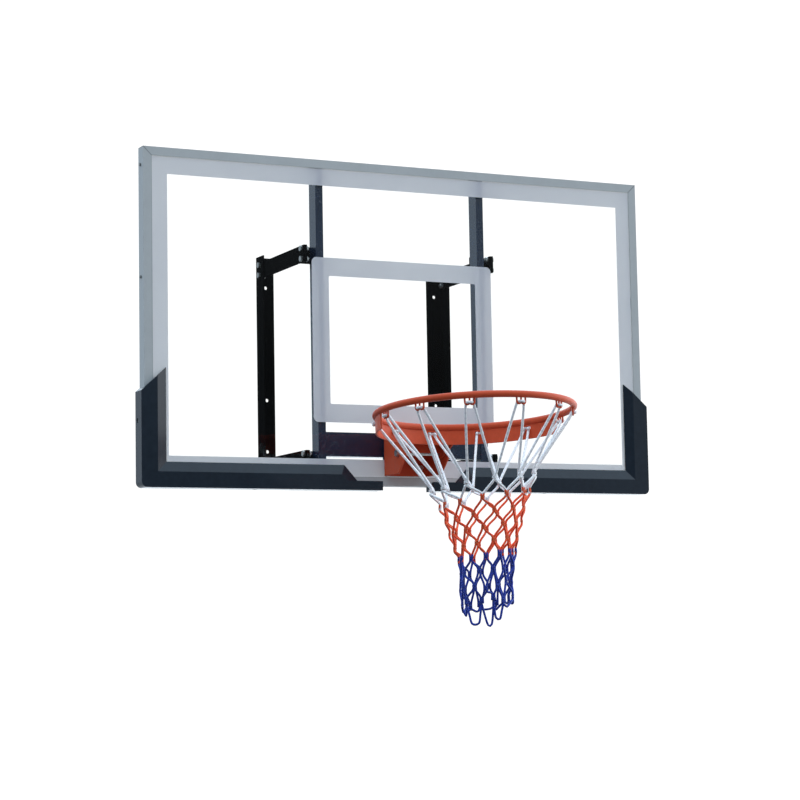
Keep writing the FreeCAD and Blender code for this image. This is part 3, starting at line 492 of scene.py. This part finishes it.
def clear_sheet():
    """Clear panel: what is behind it shows through, with a thin gloss and faint wiping marks."""
    made, tree, shader, where = new_material("clear_sheet")
    wiped = put(tree, "ShaderNodeMapping", {"Vector": where, "Scale": (3.0, 1.0, 14.0)})
    smear = noise(tree, wiped.outputs["Vector"], *SMEAR)
    dim, bright = (0.86, 0.89, 0.89), (0.94, 0.95, 0.95)
    join(tree, shader, Metallic=1.0,
         Roughness=between(tree, smear, 0.01, 0.07, start=0.45, end=0.8),
         Base_Color=ramp(tree, noise(tree, where, *SHEET_TONE), [(0.3, dim), (0.7, bright)]))
    through = put(tree, "ShaderNodeBsdfTransparent", {"Color": (0.985, 0.993, 0.992, 1.0)})
    front = sums(tree, 1.0, put(tree, "ShaderNodeNewGeometry").outputs["Backfacing"], "SUBTRACT")
    gloss = sums(tree, put(tree, "ShaderNodeFresnel", {"IOR": 1.36}).outputs["Fac"], front, "MULTIPLY")
    show(tree, gloss, through.outputs["BSDF"], shader.outputs["BSDF"], "Material Output")
    return made


def printed_ink(colour, glow, share):
    """Milky screen ink: light from behind glows through it, with a fine grain and a faint cloud."""
    made, tree, shader, where = new_material("print_ink")
    cloud, grain = noise(tree, where, *CLOUD), noise(tree, where, *INK_GRAIN)
    join(tree, shader, Base_Color=two_tone(tree, cloud, colour, dark=0.96, light=1.03),
         Roughness=between(tree, grain, 0.42, 0.56), Specular_IOR_Level=0.1)
    through = put(tree, "ShaderNodeBsdfTranslucent", {"Color": (*glow, 1.0)})
    amount = sums(tree, between(tree, cloud, share - 0.02, share + 0.02),
                  between(tree, grain, -0.01, 0.01))
    show(tree, amount, shader.outputs["BSDF"], through.outputs["BSDF"], "Material Output")
    return made


def braided(name, colour, hollow_shade):
    """Braided cord: strands that cross each other round the cord, dull and a little fuzzy; painted shade
    darkens the hollows of the braid and a painted highlight lightens the crests.
    """
    made, tree, shader, where = new_material(name)
    along = put(tree, "ShaderNodeUVMap", uv_map="CordMap").outputs["UV"]
    plait = None
    for hand in (1.0, -1.0):
        laid = put(tree, "ShaderNodeMapping", {"Vector": along, "Scale": (hand, 1.0, 1.0)})
        strands = put(tree, "ShaderNodeTexWave", {
            "Vector": laid.outputs["Vector"], "Scale": 0.9, "Distortion": 0.4, "Detail": 1.0},
            bands_direction="DIAGONAL").outputs["Fac"]
        plait = strands if plait is None else sums(tree, plait, strands, "MAXIMUM")
    hair = noise(tree, where, *HAIR)
    tone = mixed(tree, plait, noise(tree, where, *WASH), first_share=0.45)
    relief = bump(tree, plait, depth=0.0006, strength=0.8)
    join(tree, shader,
         # Painted shade in the braid's hollows, painted highlight on the crests.
         Base_Color=ramp(tree, tone, [(0.25, hollow_shade), (0.60, colour), (0.90, shade(colour, 1.12))]),
         Roughness=between(tree, hair, 0.62, 0.82),
         Normal=bump(tree, hair, depth=0.00015, strength=0.4, over=relief),
         Sheen_Weight=0.25, Specular_IOR_Level=0.25,
         Subsurface_Weight=0.6, Subsurface_Radius=(1.0, 1.0, 1.0), Subsurface_Scale=0.004)
    return made


def both_sides(*pieces):
    """The names of pieces that are on the left and on the right."""
    return [f"{side}_{piece}" for side in ("left", "right") for piece in pieces]


def finish_nodes(material, names):
    """Give CAD nodes a finish."""
    for name in names:
        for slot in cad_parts[name].material_slots:
            slot.material = material


def crease_group():
    """A modifier's node tree that keeps the slight creases between flat faces crisp."""
    made = bpy.data.node_groups.get("creases")
    if made is not None:
        return made
    made = bpy.data.node_groups.new("creases", "GeometryNodeTree")
    for way in ("INPUT", "OUTPUT"):
        made.interface.new_socket("Geometry", in_out=way, socket_type="NodeSocketGeometry")
    start, end = put(made, "NodeGroupInput"), put(made, "NodeGroupOutput")
    smooth = put(made, "GeometryNodeSetShadeSmooth", {
        "Geometry": start.outputs["Geometry"], "Shade Smooth": True}, domain="FACE")
    angle = put(made, "GeometryNodeInputMeshEdgeAngle").outputs["Unsigned Angle"]
    steep = put(made, "FunctionNodeCompare", {0: angle, 1: CREASE_ANGLE},
                data_type="FLOAT", operation="GREATER_THAN")
    sharp = put(made, "GeometryNodeSetShadeSmooth", {
        "Geometry": smooth.outputs["Geometry"], "Selection": steep.outputs["Result"],
        "Shade Smooth": False}, domain="EDGE")
    made.links.new(sharp.outputs["Geometry"], end.inputs["Geometry"])
    return made


def dress(names, material, width, segments=2):
    """Give CAD nodes a finish, and round their edges as rolled, cut or moulded ones are."""
    finish_nodes(material, names)
    for name in names:
        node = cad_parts[name]
        node.modifiers.new("weld", "WELD").merge_threshold = WELD_GAP
        flat = node.modifiers.new("flat", "DECIMATE")
        flat.decimate_type = "DISSOLVE"
        flat.angle_limit = FLAT_ANGLE
        node.modifiers.new("creases", "NODES").node_group = crease_group()
        edge = node.modifiers.new("edge", "BEVEL")
        edge.width = width
        edge.segments = segments
        edge.limit_method = "ANGLE"
        edge.angle_limit = SHARP_ANGLE
        node.modifiers.new("normals", "WEIGHTED_NORMAL").keep_sharp = True


def add_object(name, mesh, material, body):
    """Put a mesh in the scene as a piece that rides on a body."""
    piece = bpy.data.objects.new(name, mesh)
    bpy.context.collection.objects.link(piece)
    mesh.materials.append(material)
    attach(piece, body)
    return piece


def mesh_from(bm, name, smooth=True):
    """Turn a bmesh into a mesh."""
    mesh = bpy.data.meshes.new(name)
    for face in bm.faces:
        face.smooth = smooth
    bm.to_mesh(mesh)
    bm.free()
    return mesh


def round_corners(low_x, low_z, high_x, high_z, radius):
    """The outline of a rectangle with round corners, in the panel's plane."""
    outline = []
    corners = ((high_x - radius, high_z - radius), (low_x + radius, high_z - radius),
               (low_x + radius, low_z + radius), (high_x - radius, low_z + radius))
    for quarter, (x, z) in enumerate(corners):
        for step in range(CORNER_STEPS + 1):
            angle = (quarter + step / CORNER_STEPS) * TURN / 4
            outline.append((x + radius * math.cos(angle), z + radius * math.sin(angle)))
    return outline


def film_between(outer, inner, near, far):
    """A thin film between two closed outlines of as many points, as a closed solid."""
    bm = bmesh.new()
    outer_near, outer_far, inner_near, inner_far = (
        [bm.verts.new((x, y, z)) for x, z in outline]
        for outline in (outer, inner) for y in (near, far))
    for i in range(len(outer)):
        j = (i + 1) % len(outer)
        bm.faces.new((outer_near[i], outer_near[j], inner_near[j], inner_near[i]))
        bm.faces.new((outer_far[j], outer_far[i], inner_far[i], inner_far[j]))
        bm.faces.new((outer_near[j], outer_near[i], outer_far[i], outer_far[j]))
        bm.faces.new((inner_near[i], inner_near[j], inner_far[j], inner_far[i]))
    bmesh.ops.recalc_face_normals(bm, faces=bm.faces)
    return bm


def smooth_path(points, step):
    """Points along a smooth line through the given ones, about a step apart."""
    ends = [2 * points[0] - points[1], *points, 2 * points[-1] - points[-2]]
    line = []
    for a, b, c, d in zip(ends, ends[1:], ends[2:], ends[3:]):
        count = max(2, round((c - b).length / step))
        for i in range(count):
            t = i / count
            line.append(0.5 * ((2 * b) + (c - a) * t + (2 * a - 5 * b + 4 * c - d) * t * t
                               + (3 * b - a - 3 * c + d) * t * t * t))
    return line + [points[-1].copy()]


def sweep(bm, line, radius, sides=CORD_SIDES):
    """A round cord along a line, with a map of its length and its girth."""
    chart = bm.loops.layers.uv.get("CordMap") or bm.loops.layers.uv.new("CordMap")
    heading = (line[1] - line[0]).normalized()
    across = heading.orthogonal().normalized()
    spokes = [(math.cos(TURN * k / sides), math.sin(TURN * k / sides)) for k in range(sides)]
    rings, travelled, last = [], 0.0, line[0]
    for i, point in enumerate(line):
        ahead = (line[min(i + 1, len(line) - 1)] - line[max(i - 1, 0)]).normalized()
        across = heading.rotation_difference(ahead) @ across
        heading = ahead
        beside = heading.cross(across)
        travelled += (point - last).length
        last = point
        ring = [bm.verts.new(point + radius * (across * x + beside * y)) for x, y in spokes]
        rings.append((ring, travelled / (TURN * radius)))
    for (low, low_v), (high, high_v) in zip(rings, rings[1:]):
        for k in range(sides):
            n = (k + 1) % sides
            face = bm.faces.new((low[k], low[n], high[n], high[k]))
            corners = ((k, low_v), (k + 1, low_v), (k + 1, high_v), (k, high_v))
            for loop, (u, v) in zip(face.loops, corners):
                loop[chart].uv = (u / sides, v)
    bm.faces.new(list(reversed(rings[0][0])))
    bm.faces.new(rings[-1][0])


class StageOperator(bpy.types.Operator):
    """Set the camera, the pale floor and the soft light"""
    bl_idname = "backboard.set_stage"
    bl_label = "Set the stage"

    def execute(self, context):
        stage = context.scene.backboard_stage
        lens = bpy.data.cameras.new("view")
        lens.lens = stage.lens
        lens.sensor_width = SENSOR_WIDTH
        lens.clip_end = CAMERA_REACH
        camera = bpy.data.objects.new("view", lens)
        context.collection.objects.link(camera)
        camera.matrix_world = (
            Matrix.Translation(stage.camera_place) @ Matrix.Rotation(-stage.camera_yaw, 4, "Z")
            @ Matrix.Rotation(TURN / 4 + stage.camera_pitch, 4, "X")
            @ Matrix.Rotation(stage.camera_roll, 4, "Z"))
        context.scene.camera = camera
        context.scene.view_settings.view_transform = "Standard"
        self.make_floor(context, stage)
        self.make_sky(context, stage)
        return {"FINISHED"}

    def make_floor(self, context, stage):
        """A wide pale floor, as far below the ring as on a court."""
        bm = bmesh.new()
        bmesh.ops.create_grid(
            bm, x_segments=FLOOR_SQUARES, y_segments=FLOOR_SQUARES, size=stage.floor_side / 2)
        floor = bpy.data.objects.new("floor", mesh_from(bm, "floor"))
        floor.location = (0.0, 0.0, RING_MIDDLE.z - stage.ring_height)
        context.collection.objects.link(floor)
        made, tree, shader, where = new_material("floor_paint")
        tone = noise(tree, where, *FLOOR_TONE)
        join(tree, shader, Roughness=0.8,
             Base_Color=two_tone(tree, tone, stage.floor_colour, dark=0.985, light=1.015))
        floor.data.materials.append(made)
        floor.visible_diffuse = False
        floor.visible_glossy = False

    def make_sky(self, context, stage):
        """Even white backdrop, and soft light that is brighter from above and from the right."""
        world = bpy.data.worlds.new("studio")
        world.use_nodes = True
        context.scene.world = world
        tree = world.node_tree
        way = put(tree, "ShaderNodeSeparateXYZ", {
            "Vector": put(tree, "ShaderNodeTexCoord").outputs["Generated"]}).outputs
        sides = between(tree, way["X"], stage.sky_left, stage.sky_right, *SKY_ACROSS)
        level = between(tree, way["Y"], stage.sky_front, sides, *SKY_FORWARD)
        above = between(tree, way["Z"], 0.0, 1.0, *SKY_ABOVE)
        rise = sums(tree, sums(tree, stage.sky_top, level, "SUBTRACT"), above, "MULTIPLY")
        below = between(tree, way["Z"], stage.sky_low, 1.0, *SKY_BELOW)
        light = sums(tree, sums(tree, level, rise), below, "MULTIPLY")
        across = between(tree, way["X"], 0.0, 1.0, *SKY_ACROSS)
        side_tint = ramp(tree, across, [(0.0, LEFT_TINT), (1.0, RIGHT_TINT)])
        tint = blend_colours(tree, above, side_tint, TOP_TINT)
        glow = put(tree, "ShaderNodeBackground", {"Color": tint, "Strength": light})
        white = put(tree, "ShaderNodeBackground", {
            "Color": (1.0, 1.0, 1.0, 1.0), "Strength": stage.backdrop})
        seen = put(tree, "ShaderNodeLightPath").outputs["Is Camera Ray"]
        show(tree, seen, glow.outputs["Background"], white.outputs["Background"], "World Output")


class PanelOperator(bpy.types.Operator):
    """Make the panel clear and print the border and the target on its front"""
    bl_idname = "backboard.dress_panel"
    bl_label = "Panel and print"

    def execute(self, context):
        lines = context.scene.backboard_print
        finish_nodes(clear_sheet(), ["board_panel"])
        ink = printed_ink(lines.ink, lines.glow, lines.share)
        near = PANEL_LOW.y - INK_GAP
        prints = {"border_print": self.border(lines), "target_print": self.target(lines)}
        for name, (outer, inner) in prints.items():
            film = film_between(outer, inner, near, near - lines.film)
            add_object(name, mesh_from(film, name, smooth=False), ink, "board")
        return {"FINISHED"}

    def border(self, lines):
        """The outlines of the border, which goes round the sides and the foot of the rim plate."""
        side = PANEL_HIGH.x - lines.under_lip
        low, high = PANEL_LOW.z + lines.under_lip, PANEL_HIGH.z - lines.under_lip
        gap = PLATE_HIGH.x + PLATE_GAP
        notch, under = gap - NOTCH_SLANT, PLATE_LOW.z - PLATE_GAP
        half, foot, head = lines.border_half, lines.border_low, lines.border_high
        outer = [(gap, low), (side, low), (side, high), (-side, high), (-side, low), (-gap, low),
                 (-notch, low), (notch, low)]
        inner = [(gap, foot), (half, foot), (half, head), (-half, head), (-half, foot), (-gap, foot),
                 (-notch, under), (notch, under)]
        return outer, inner

    def target(self, lines):
        """The outlines of the target, with round corners."""
        out, bar = lines.target_half, lines.target_bar
        inside = out - bar
        return (round_corners(-out, lines.target_low, out, lines.target_high, lines.outer_round),
                round_corners(-inside, lines.target_low + bar, inside, lines.target_high - bar,
                              lines.inner_round))


class FrameOperator(bpy.types.Operator):
    """Paint the frame round the panel and finish what is inside it"""
    bl_idname = "backboard.dress_frame"
    bl_label = "Frame"

    def execute(self, context):
        finish = context.scene.backboard_finish
        # The darker edge colour is wear and painted shade along the rails' edges and folds.
        paint = painted(
            "frame_paint", finish.frame_paint, rough=0.42, grain=750.0, depth=0.00008,
            mottle=0.05, wear_and_shade=(0.13, 0.15, 0.17), wear_and_shade_share=0.62, joints=joints_and_lip_shade)
        dress(["top_frame_rail", "bottom_frame_rail", *both_sides("frame_rail")], paint, FRAME_EDGE)
        steel = plated("bracket_zinc", shade(finish.zinc, 0.85), rough=0.42)
        dress(both_sides("corner_bracket"), steel, FITTING_EDGE)
        plastic = moulded("clip_plastic", finish.black_plastic, rough=0.5, grain=900.0, gloss=0.45)
        dress(both_sides("panel_clip"), plastic, FITTING_EDGE)
        return {"FINISHED"}


class UprightOperator(bpy.types.Operator):
    """Paint the uprights, the cross-member and the plate behind the rim"""
    bl_idname = "backboard.dress_uprights"
    bl_label = "Uprights"

    def execute(self, context):
        paint = painted(
            "tube_paint", context.scene.backboard_finish.tube_paint, rough=0.26, grain=680.0,
            depth=0.00008, mottle=0.10, wear_and_shade=(0.10, 0.11, 0.13), wear_and_shade_share=0.30, dust=0.10,
            haze=0.015)
        tree = paint.node_tree
        join(tree, tree.nodes["Principled BSDF"],
             Coat_Weight=0.38, Coat_Roughness=0.18, Coat_Tint=(0.92, 0.97, 1.0, 1.0))
        tubes = [*both_sides("upright_tube"), "cross_member", "rim_backing_plate"]
        dress(tubes, paint, TUBE_EDGE, segments=3)
        return {"FINISHED"}


class PadOperator(bpy.types.Operator):
    """Finish the moulded corner pads"""
    bl_idname = "backboard.dress_pads"
    bl_label = "Corner pads"

    def execute(self, context):
        colour = context.scene.backboard_finish.pad_plastic
        plastic = moulded("pad_plastic", colour, rough=0.21, grain=620.0, gloss=0.38)
        dress(both_sides("corner_pad"), plastic, PAD_EDGE, segments=3)
        return {"FINISHED"}


class MountOperator(bpy.types.Operator):
    """Paint the wall bars, the arms and their brackets"""
    bl_idname = "backboard.dress_mount"
    bl_label = "Wall mount"

    def execute(self, context):
        paint = painted(
            "mount_paint", context.scene.backboard_finish.mount_paint, rough=0.66, grain=520.0,
            depth=0.00012, mottle=0.20, wear_and_shade=(0.03, 0.03, 0.031), wear_and_shade_share=0.30, gloss=0.004,
            dust=0.02)
        pieces = both_sides(
            "wall_rail", "upper_arm", "lower_arm", "upper_tube_bracket", "lower_tube_bracket")
        dress(pieces, paint, MOUNT_EDGE)
        return {"FINISHED"}


class FastenerOperator(bpy.types.Operator):
    """Finish the bolts, nuts and screws"""
    bl_idname = "backboard.dress_fasteners"
    bl_label = "Fasteners"

    def execute(self, context):
        zinc = context.scene.backboard_finish.zinc
        for name, tone, rough, pieces in ZINC_FINISHES:
            finish_nodes(plated(name, shade(zinc, tone), rough), pieces)
        return {"FINISHED"}


class RimOperator(bpy.types.Operator):
    """Paint the rim, its housing and its hooks"""
    bl_idname = "backboard.dress_rim"
    bl_label = "Rim"

    def execute(self, context):
        paint = painted(
            "rim_paint", context.scene.backboard_finish.rim_paint, rough=0.40, grain=560.0,
            depth=0.00010, mottle=0.09, wear_and_shade=(0.30, 0.10, 0.06), wear_and_shade_share=0.30, gloss=0.16,
            dust=0.04)
        sheets = ["rim_plate", *both_sides("rim_cheek"), "spring_shelf", "rim_stop", "rim_carrier",
                  "rim_band"]
        dress(sheets, paint, RIM_EDGE)
        finish_nodes(paint, ["rim_ring", "net_hooks"])
        return {"FINISHED"}


class SpringOperator(bpy.types.Operator):
    """Wind the two coil springs"""
    bl_idname = "backboard.wind_springs"
    bl_label = "Springs"

    def execute(self, context):
        spring = context.scene.backboard_spring
        colour = context.scene.backboard_finish.spring_steel
        steel = plated("spring_steel", colour, rough=0.34, spangle=700.0)
        for node in both_sides("spring"):
            low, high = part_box(node)
            middle = (low + high) / 2
            radius = (high.x - low.x - spring.wire) / 2
            foot, head = low.z + spring.wire / 2, high.z - spring.wire / 2
            line = []
            for i in range(spring.turns * COIL_STEPS + 1):
                turn = i / COIL_STEPS
                share = self.climb(turn, spring.turns, spring.wire / (head - foot))
                line.append(Vector((middle.x + radius * math.cos(TURN * turn),
                                    middle.y + radius * math.sin(TURN * turn),
                                    foot + (head - foot) * share)))
            bm = bmesh.new()
            sweep(bm, line, spring.wire / 2, WIRE_SIDES)
            piece = add_object(f"{node}_coil", mesh_from(bm, node), steel, "board")
            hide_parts(node)
            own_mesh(piece)
        return {"FINISHED"}

    def climb(self, turn, turns, closed):
        """Share of the height that the wire has climbed; the end turns lie closed."""
        if turn < CLOSED_TURN:
            return closed * turn
        if turn > turns - CLOSED_TURN:
            return 1 - closed * (turns - turn)
        edge = closed * CLOSED_TURN
        return edge + (1 - 2 * edge) * (turn - CLOSED_TURN) / (turns - 2 * CLOSED_TURN)


class NetOperator(bpy.types.Operator):
    """Tie the net: two cords from each hook or slot, knotted in diamonds, with loops at the foot"""
    bl_idname = "backboard.tie_net"
    bl_label = "Net"

    def execute(self, context):
        self.net = net = context.scene.backboard_net
        self.draw = random.Random(net.seed)
        self.parts = {"top": bmesh.new(), "middle": bmesh.new(), "foot": bmesh.new()}
        self.turn = Matrix.Rotation(-net.ring_tilt, 3, "X")
        rows = [self.knot_row(i) for i in range(len(NET_ROWS))]
        for k in range(HOOK_COUNT):
            self.hang(k, rows)
        for i, row in enumerate(rows):
            for knot in row:
                self.wrap(knot, self.part_of_row(i))
        self.loops(rows[-1])
        finishes = (("white_cord", net.white, net.white_hollow_shade), ("red_cord", net.red, net.red_hollow_shade),
                    ("blue_cord", net.blue, net.blue_hollow_shade))
        for (part, bm), (finish, colour, hollow_shade) in zip(self.parts.items(), finishes):
            cord = braided(finish, colour, hollow_shade)
            piece = add_object(f"net_{part}", mesh_from(bm, f"net_{part}"), cord, "rim")
            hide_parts("net")
        return {"FINISHED"}

    def part_of_row(self, i):
        """Which part of the net a row of knots belongs to."""
        return "top" if i < RED_ROW else "middle" if i < BLUE_ROW else "foot"

    def radius_of(self, part):
        """Half the thickness of the cord in one part of the net."""
        return self.net.cord / 2 * (1.0 if part == "top" else self.net.slender)

    def at(self, angle, radius, drop):
        """A place on the net, by its angle from the front, in the ring's tilted frame."""
        around = Vector((radius * math.sin(angle), -radius * math.cos(angle), -drop))
        return RING_MIDDLE + self.turn @ around

    def hanging(self, angle, radius, drop):
        """A place on the hanging net, which falls straight down from the tilted ring."""
        net = self.net
        x, y = radius * math.sin(angle), -radius * math.cos(angle)
        rise = -y * math.sin(net.ring_tilt) + net.lean * x
        sway = min(1.0, drop / NET_ROWS[RED_ROW][0])
        return RING_MIDDLE + Vector((x + sway * net.sway_right, y - sway * net.sway_front, rise - drop))

    def knot_row(self, i):
        """The knots of one row: where each is, and the way round the net there."""
        drop, radius = NET_ROWS[i]
        stray = self.net.loose * (STRAY_TOP + (i / len(NET_ROWS)) ** 2)
        row = []
        for k in range(HOOK_COUNT):
            angle = TURN * (k + (0.5 if i % 2 == 0 else 0.0)) / HOOK_COUNT
            angle += self.draw.uniform(-stray, stray) / radius
            out = radius + self.draw.uniform(-stray, stray)
            place = self.hanging(angle, out, drop + STRAY_HEIGHT * self.draw.uniform(-stray, stray))
            row.append((place, Vector((math.cos(angle), math.sin(angle), 0.0))))
        return row

    def hang(self, k, rows):
        """The two cords of one hook or slot, from where they hang to the last row of knots."""
        angle = TURN * k / HOOK_COUNT
        behind = math.cos(angle) < BAND_END
        reach = UP * (KNOT_REACH * self.net.cord)
        for side in (-1, 1):
            points, marks = self.lead(angle, side, behind), []
            for i, row in enumerate(rows):
                even = i % 2 == 0
                place, round_net = row[k - 1 if even and side < 0 else k]
                way = -side if even else side
                beside = round_net * (way * KNOT_BESIDE * self.net.cord)
                points += [place + beside + reach, place + beside - reach]
                marks.append(len(points) - 1)
            self.lay(points, marks)
        if behind:
            self.stopper(angle)
        else:
            self.bridge(angle)

    def lead(self, angle, side, behind):
        """Where a cord comes out of a hook's loop, or in through a slot of the band."""
        net = self.net
        if behind:
            half, radius, drop, route = net.slot_half, net.slot_radius, net.slot_drop, SLOT_LEAD
        else:
            half, radius, drop, route = net.hook_half, net.hook_radius, net.hook_drop, HOOK_LEAD
        spread = side * half / radius
        return [self.at(angle + spread * share, radius + out, drop + down)
                for share, out, down in route]

    def bridge(self, angle):
        """The bend of cord outside a hook, from one of its loops to the other."""
        net = self.net
        spread = net.hook_half / net.hook_radius
        points = [self.at(angle + share * spread, net.hook_radius + out, net.hook_drop)
                  for share, out in BRIDGE]
        sweep(self.parts["top"], smooth_path(points, BRIDGE_STEP), net.cord / 2)

    def stopper(self, angle):
        """The turns of cord outside a slot that keep the net from pulling through."""
        net = self.net
        middle = self.at(angle, net.slot_radius + STOPPER_OUT, net.slot_drop)
        slot = self.at(angle, net.slot_radius, net.slot_drop)
        beside = self.at(angle + SMALL_ANGLE, net.slot_radius, net.slot_drop)
        along = (beside - slot).normalized()
        out = along.cross(UP).normalized()
        line = []
        for i in range(STOPPER_STEPS + 1):
            share = i / STOPPER_STEPS
            turn = TURN * STOPPER_TURNS * share
            line.append(middle + along * (STOPPER_LENGTH * (share - 0.5))
                        + STOPPER_RADIUS * (UP * math.cos(turn) + out * math.sin(turn)))
        sweep(self.parts["top"], line, net.cord * STOPPER_CORD)

    def lay(self, points, marks):
        """One cord down the net, in the three colours."""
        cuts = (("top", 0, marks[RED_ROW]), ("middle", marks[RED_ROW] - 1, marks[BLUE_ROW]),
                ("foot", marks[BLUE_ROW] - 1, len(points) - 1))
        for part, first, last in cuts:
            line = smooth_path(points[first:last + 1], CORD_STEP)
            sweep(self.parts[part], line, self.radius_of(part))

    def wrap(self, knot, part):
        """The turns of cord that bind two cords at a knot."""
        place, round_net = knot
        away = round_net.cross(UP).normalized()
        cord = 2 * self.radius_of(part)
        lean = self.draw.uniform(-WRAP_LEAN, WRAP_LEAN)
        line = []
        for i in range(WRAP_STEPS + 1):
            share = i / WRAP_STEPS
            turn = TURN * WRAP_TURNS * share + lean
            rise = WRAP_RISE * (0.5 - share) + WRAP_TILT * math.cos(turn) * lean
            line.append(place + round_net * (WRAP_WIDE * cord * math.cos(turn))
                        + away * (WRAP_DEEP * cord * math.sin(turn)) + UP * (cord * rise))
        sweep(self.parts[part], line, WRAP_CORD * cord, WRAP_SIDES)

    def loops(self, row):
        """The loose loops at the foot."""
        uniform = self.draw.uniform
        neck, heel = UP * -LOOP_NECK, UP * LOOP_HEEL
        for k in range(HOOK_COUNT):
            a, b = row[k - 1][0], row[k][0]
            across = b - a
            near = math.cos(TURN * (k - 0.5) / HOOK_COUNT - self.net.long_side)
            fall = LOOP_SHORT + LOOP_MORE * max(0.0, near) ** 2 + uniform(-LOOP_STRAY, LOOP_STRAY)
            wide = uniform(*LOOP_WIDTHS)
            sway_x, sway_y = uniform(-LOOP_SWAY, LOOP_SWAY), uniform(-LOOP_SWAY, LOOP_SWAY)
            middle = (a + b) / 2 + Vector((sway_x, sway_y, -fall))
            points = [a, a + neck, a.lerp(middle, LOOP_BELLY) - across * LOOP_FLARE,
                      middle - across * wide + heel, middle + across * wide + heel,
                      b.lerp(middle, LOOP_BELLY) + across * LOOP_FLARE, b + neck, b]
            sweep(self.parts["foot"], smooth_path(points, LOOP_STEP), self.radius_of("foot"))


class BackboardPanel(bpy.types.Panel):
    """The dressing's steps, in the sidebar"""
    bl_idname = "BACKBOARD_PT_dressing"
    bl_label = "Backboard"
    bl_space_type = "VIEW_3D"
    bl_region_type = "UI"
    bl_category = "Backboard"

    def draw(self, context):
        for step in STEPS:
            self.layout.operator(step.bl_idname)


GROUPS = {
    "backboard_stage": StageSettings,
    "backboard_print": PrintSettings,
    "backboard_finish": FinishSettings,
    "backboard_spring": SpringSettings,
    "backboard_net": NetSettings,
}
STEPS = (StageOperator, PanelOperator, FrameOperator, UprightOperator, PadOperator, MountOperator,
         FastenerOperator, RimOperator, SpringOperator, NetOperator)


def register():
    """Make the settings, the steps and the panel known to Blender."""
    for name, group in GROUPS.items():
        bpy.utils.register_class(group)
        setattr(bpy.types.Scene, name, PointerProperty(type=group))
    for kind in (*STEPS, BackboardPanel):
        bpy.utils.register_class(kind)


def unregister():
    """Take them away again."""
    for kind in reversed((*STEPS, BackboardPanel)):
        bpy.utils.unregister_class(kind)
    for name, group in GROUPS.items():
        delattr(bpy.types.Scene, name)
        bpy.utils.unregister_class(group)


def main():
    """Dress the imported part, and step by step."""
    register()
    bpy.ops.backboard.set_stage()
    bpy.ops.backboard.dress_panel()
    bpy.ops.backboard.dress_frame()
    bpy.ops.backboard.dress_uprights()
    bpy.ops.backboard.dress_pads()
    bpy.ops.backboard.dress_mount()
    bpy.ops.backboard.dress_fasteners()
    bpy.ops.backboard.dress_rim()
    bpy.ops.backboard.wind_springs()
    bpy.ops.backboard.tie_net()


if __name__ == "__main__":
    main()
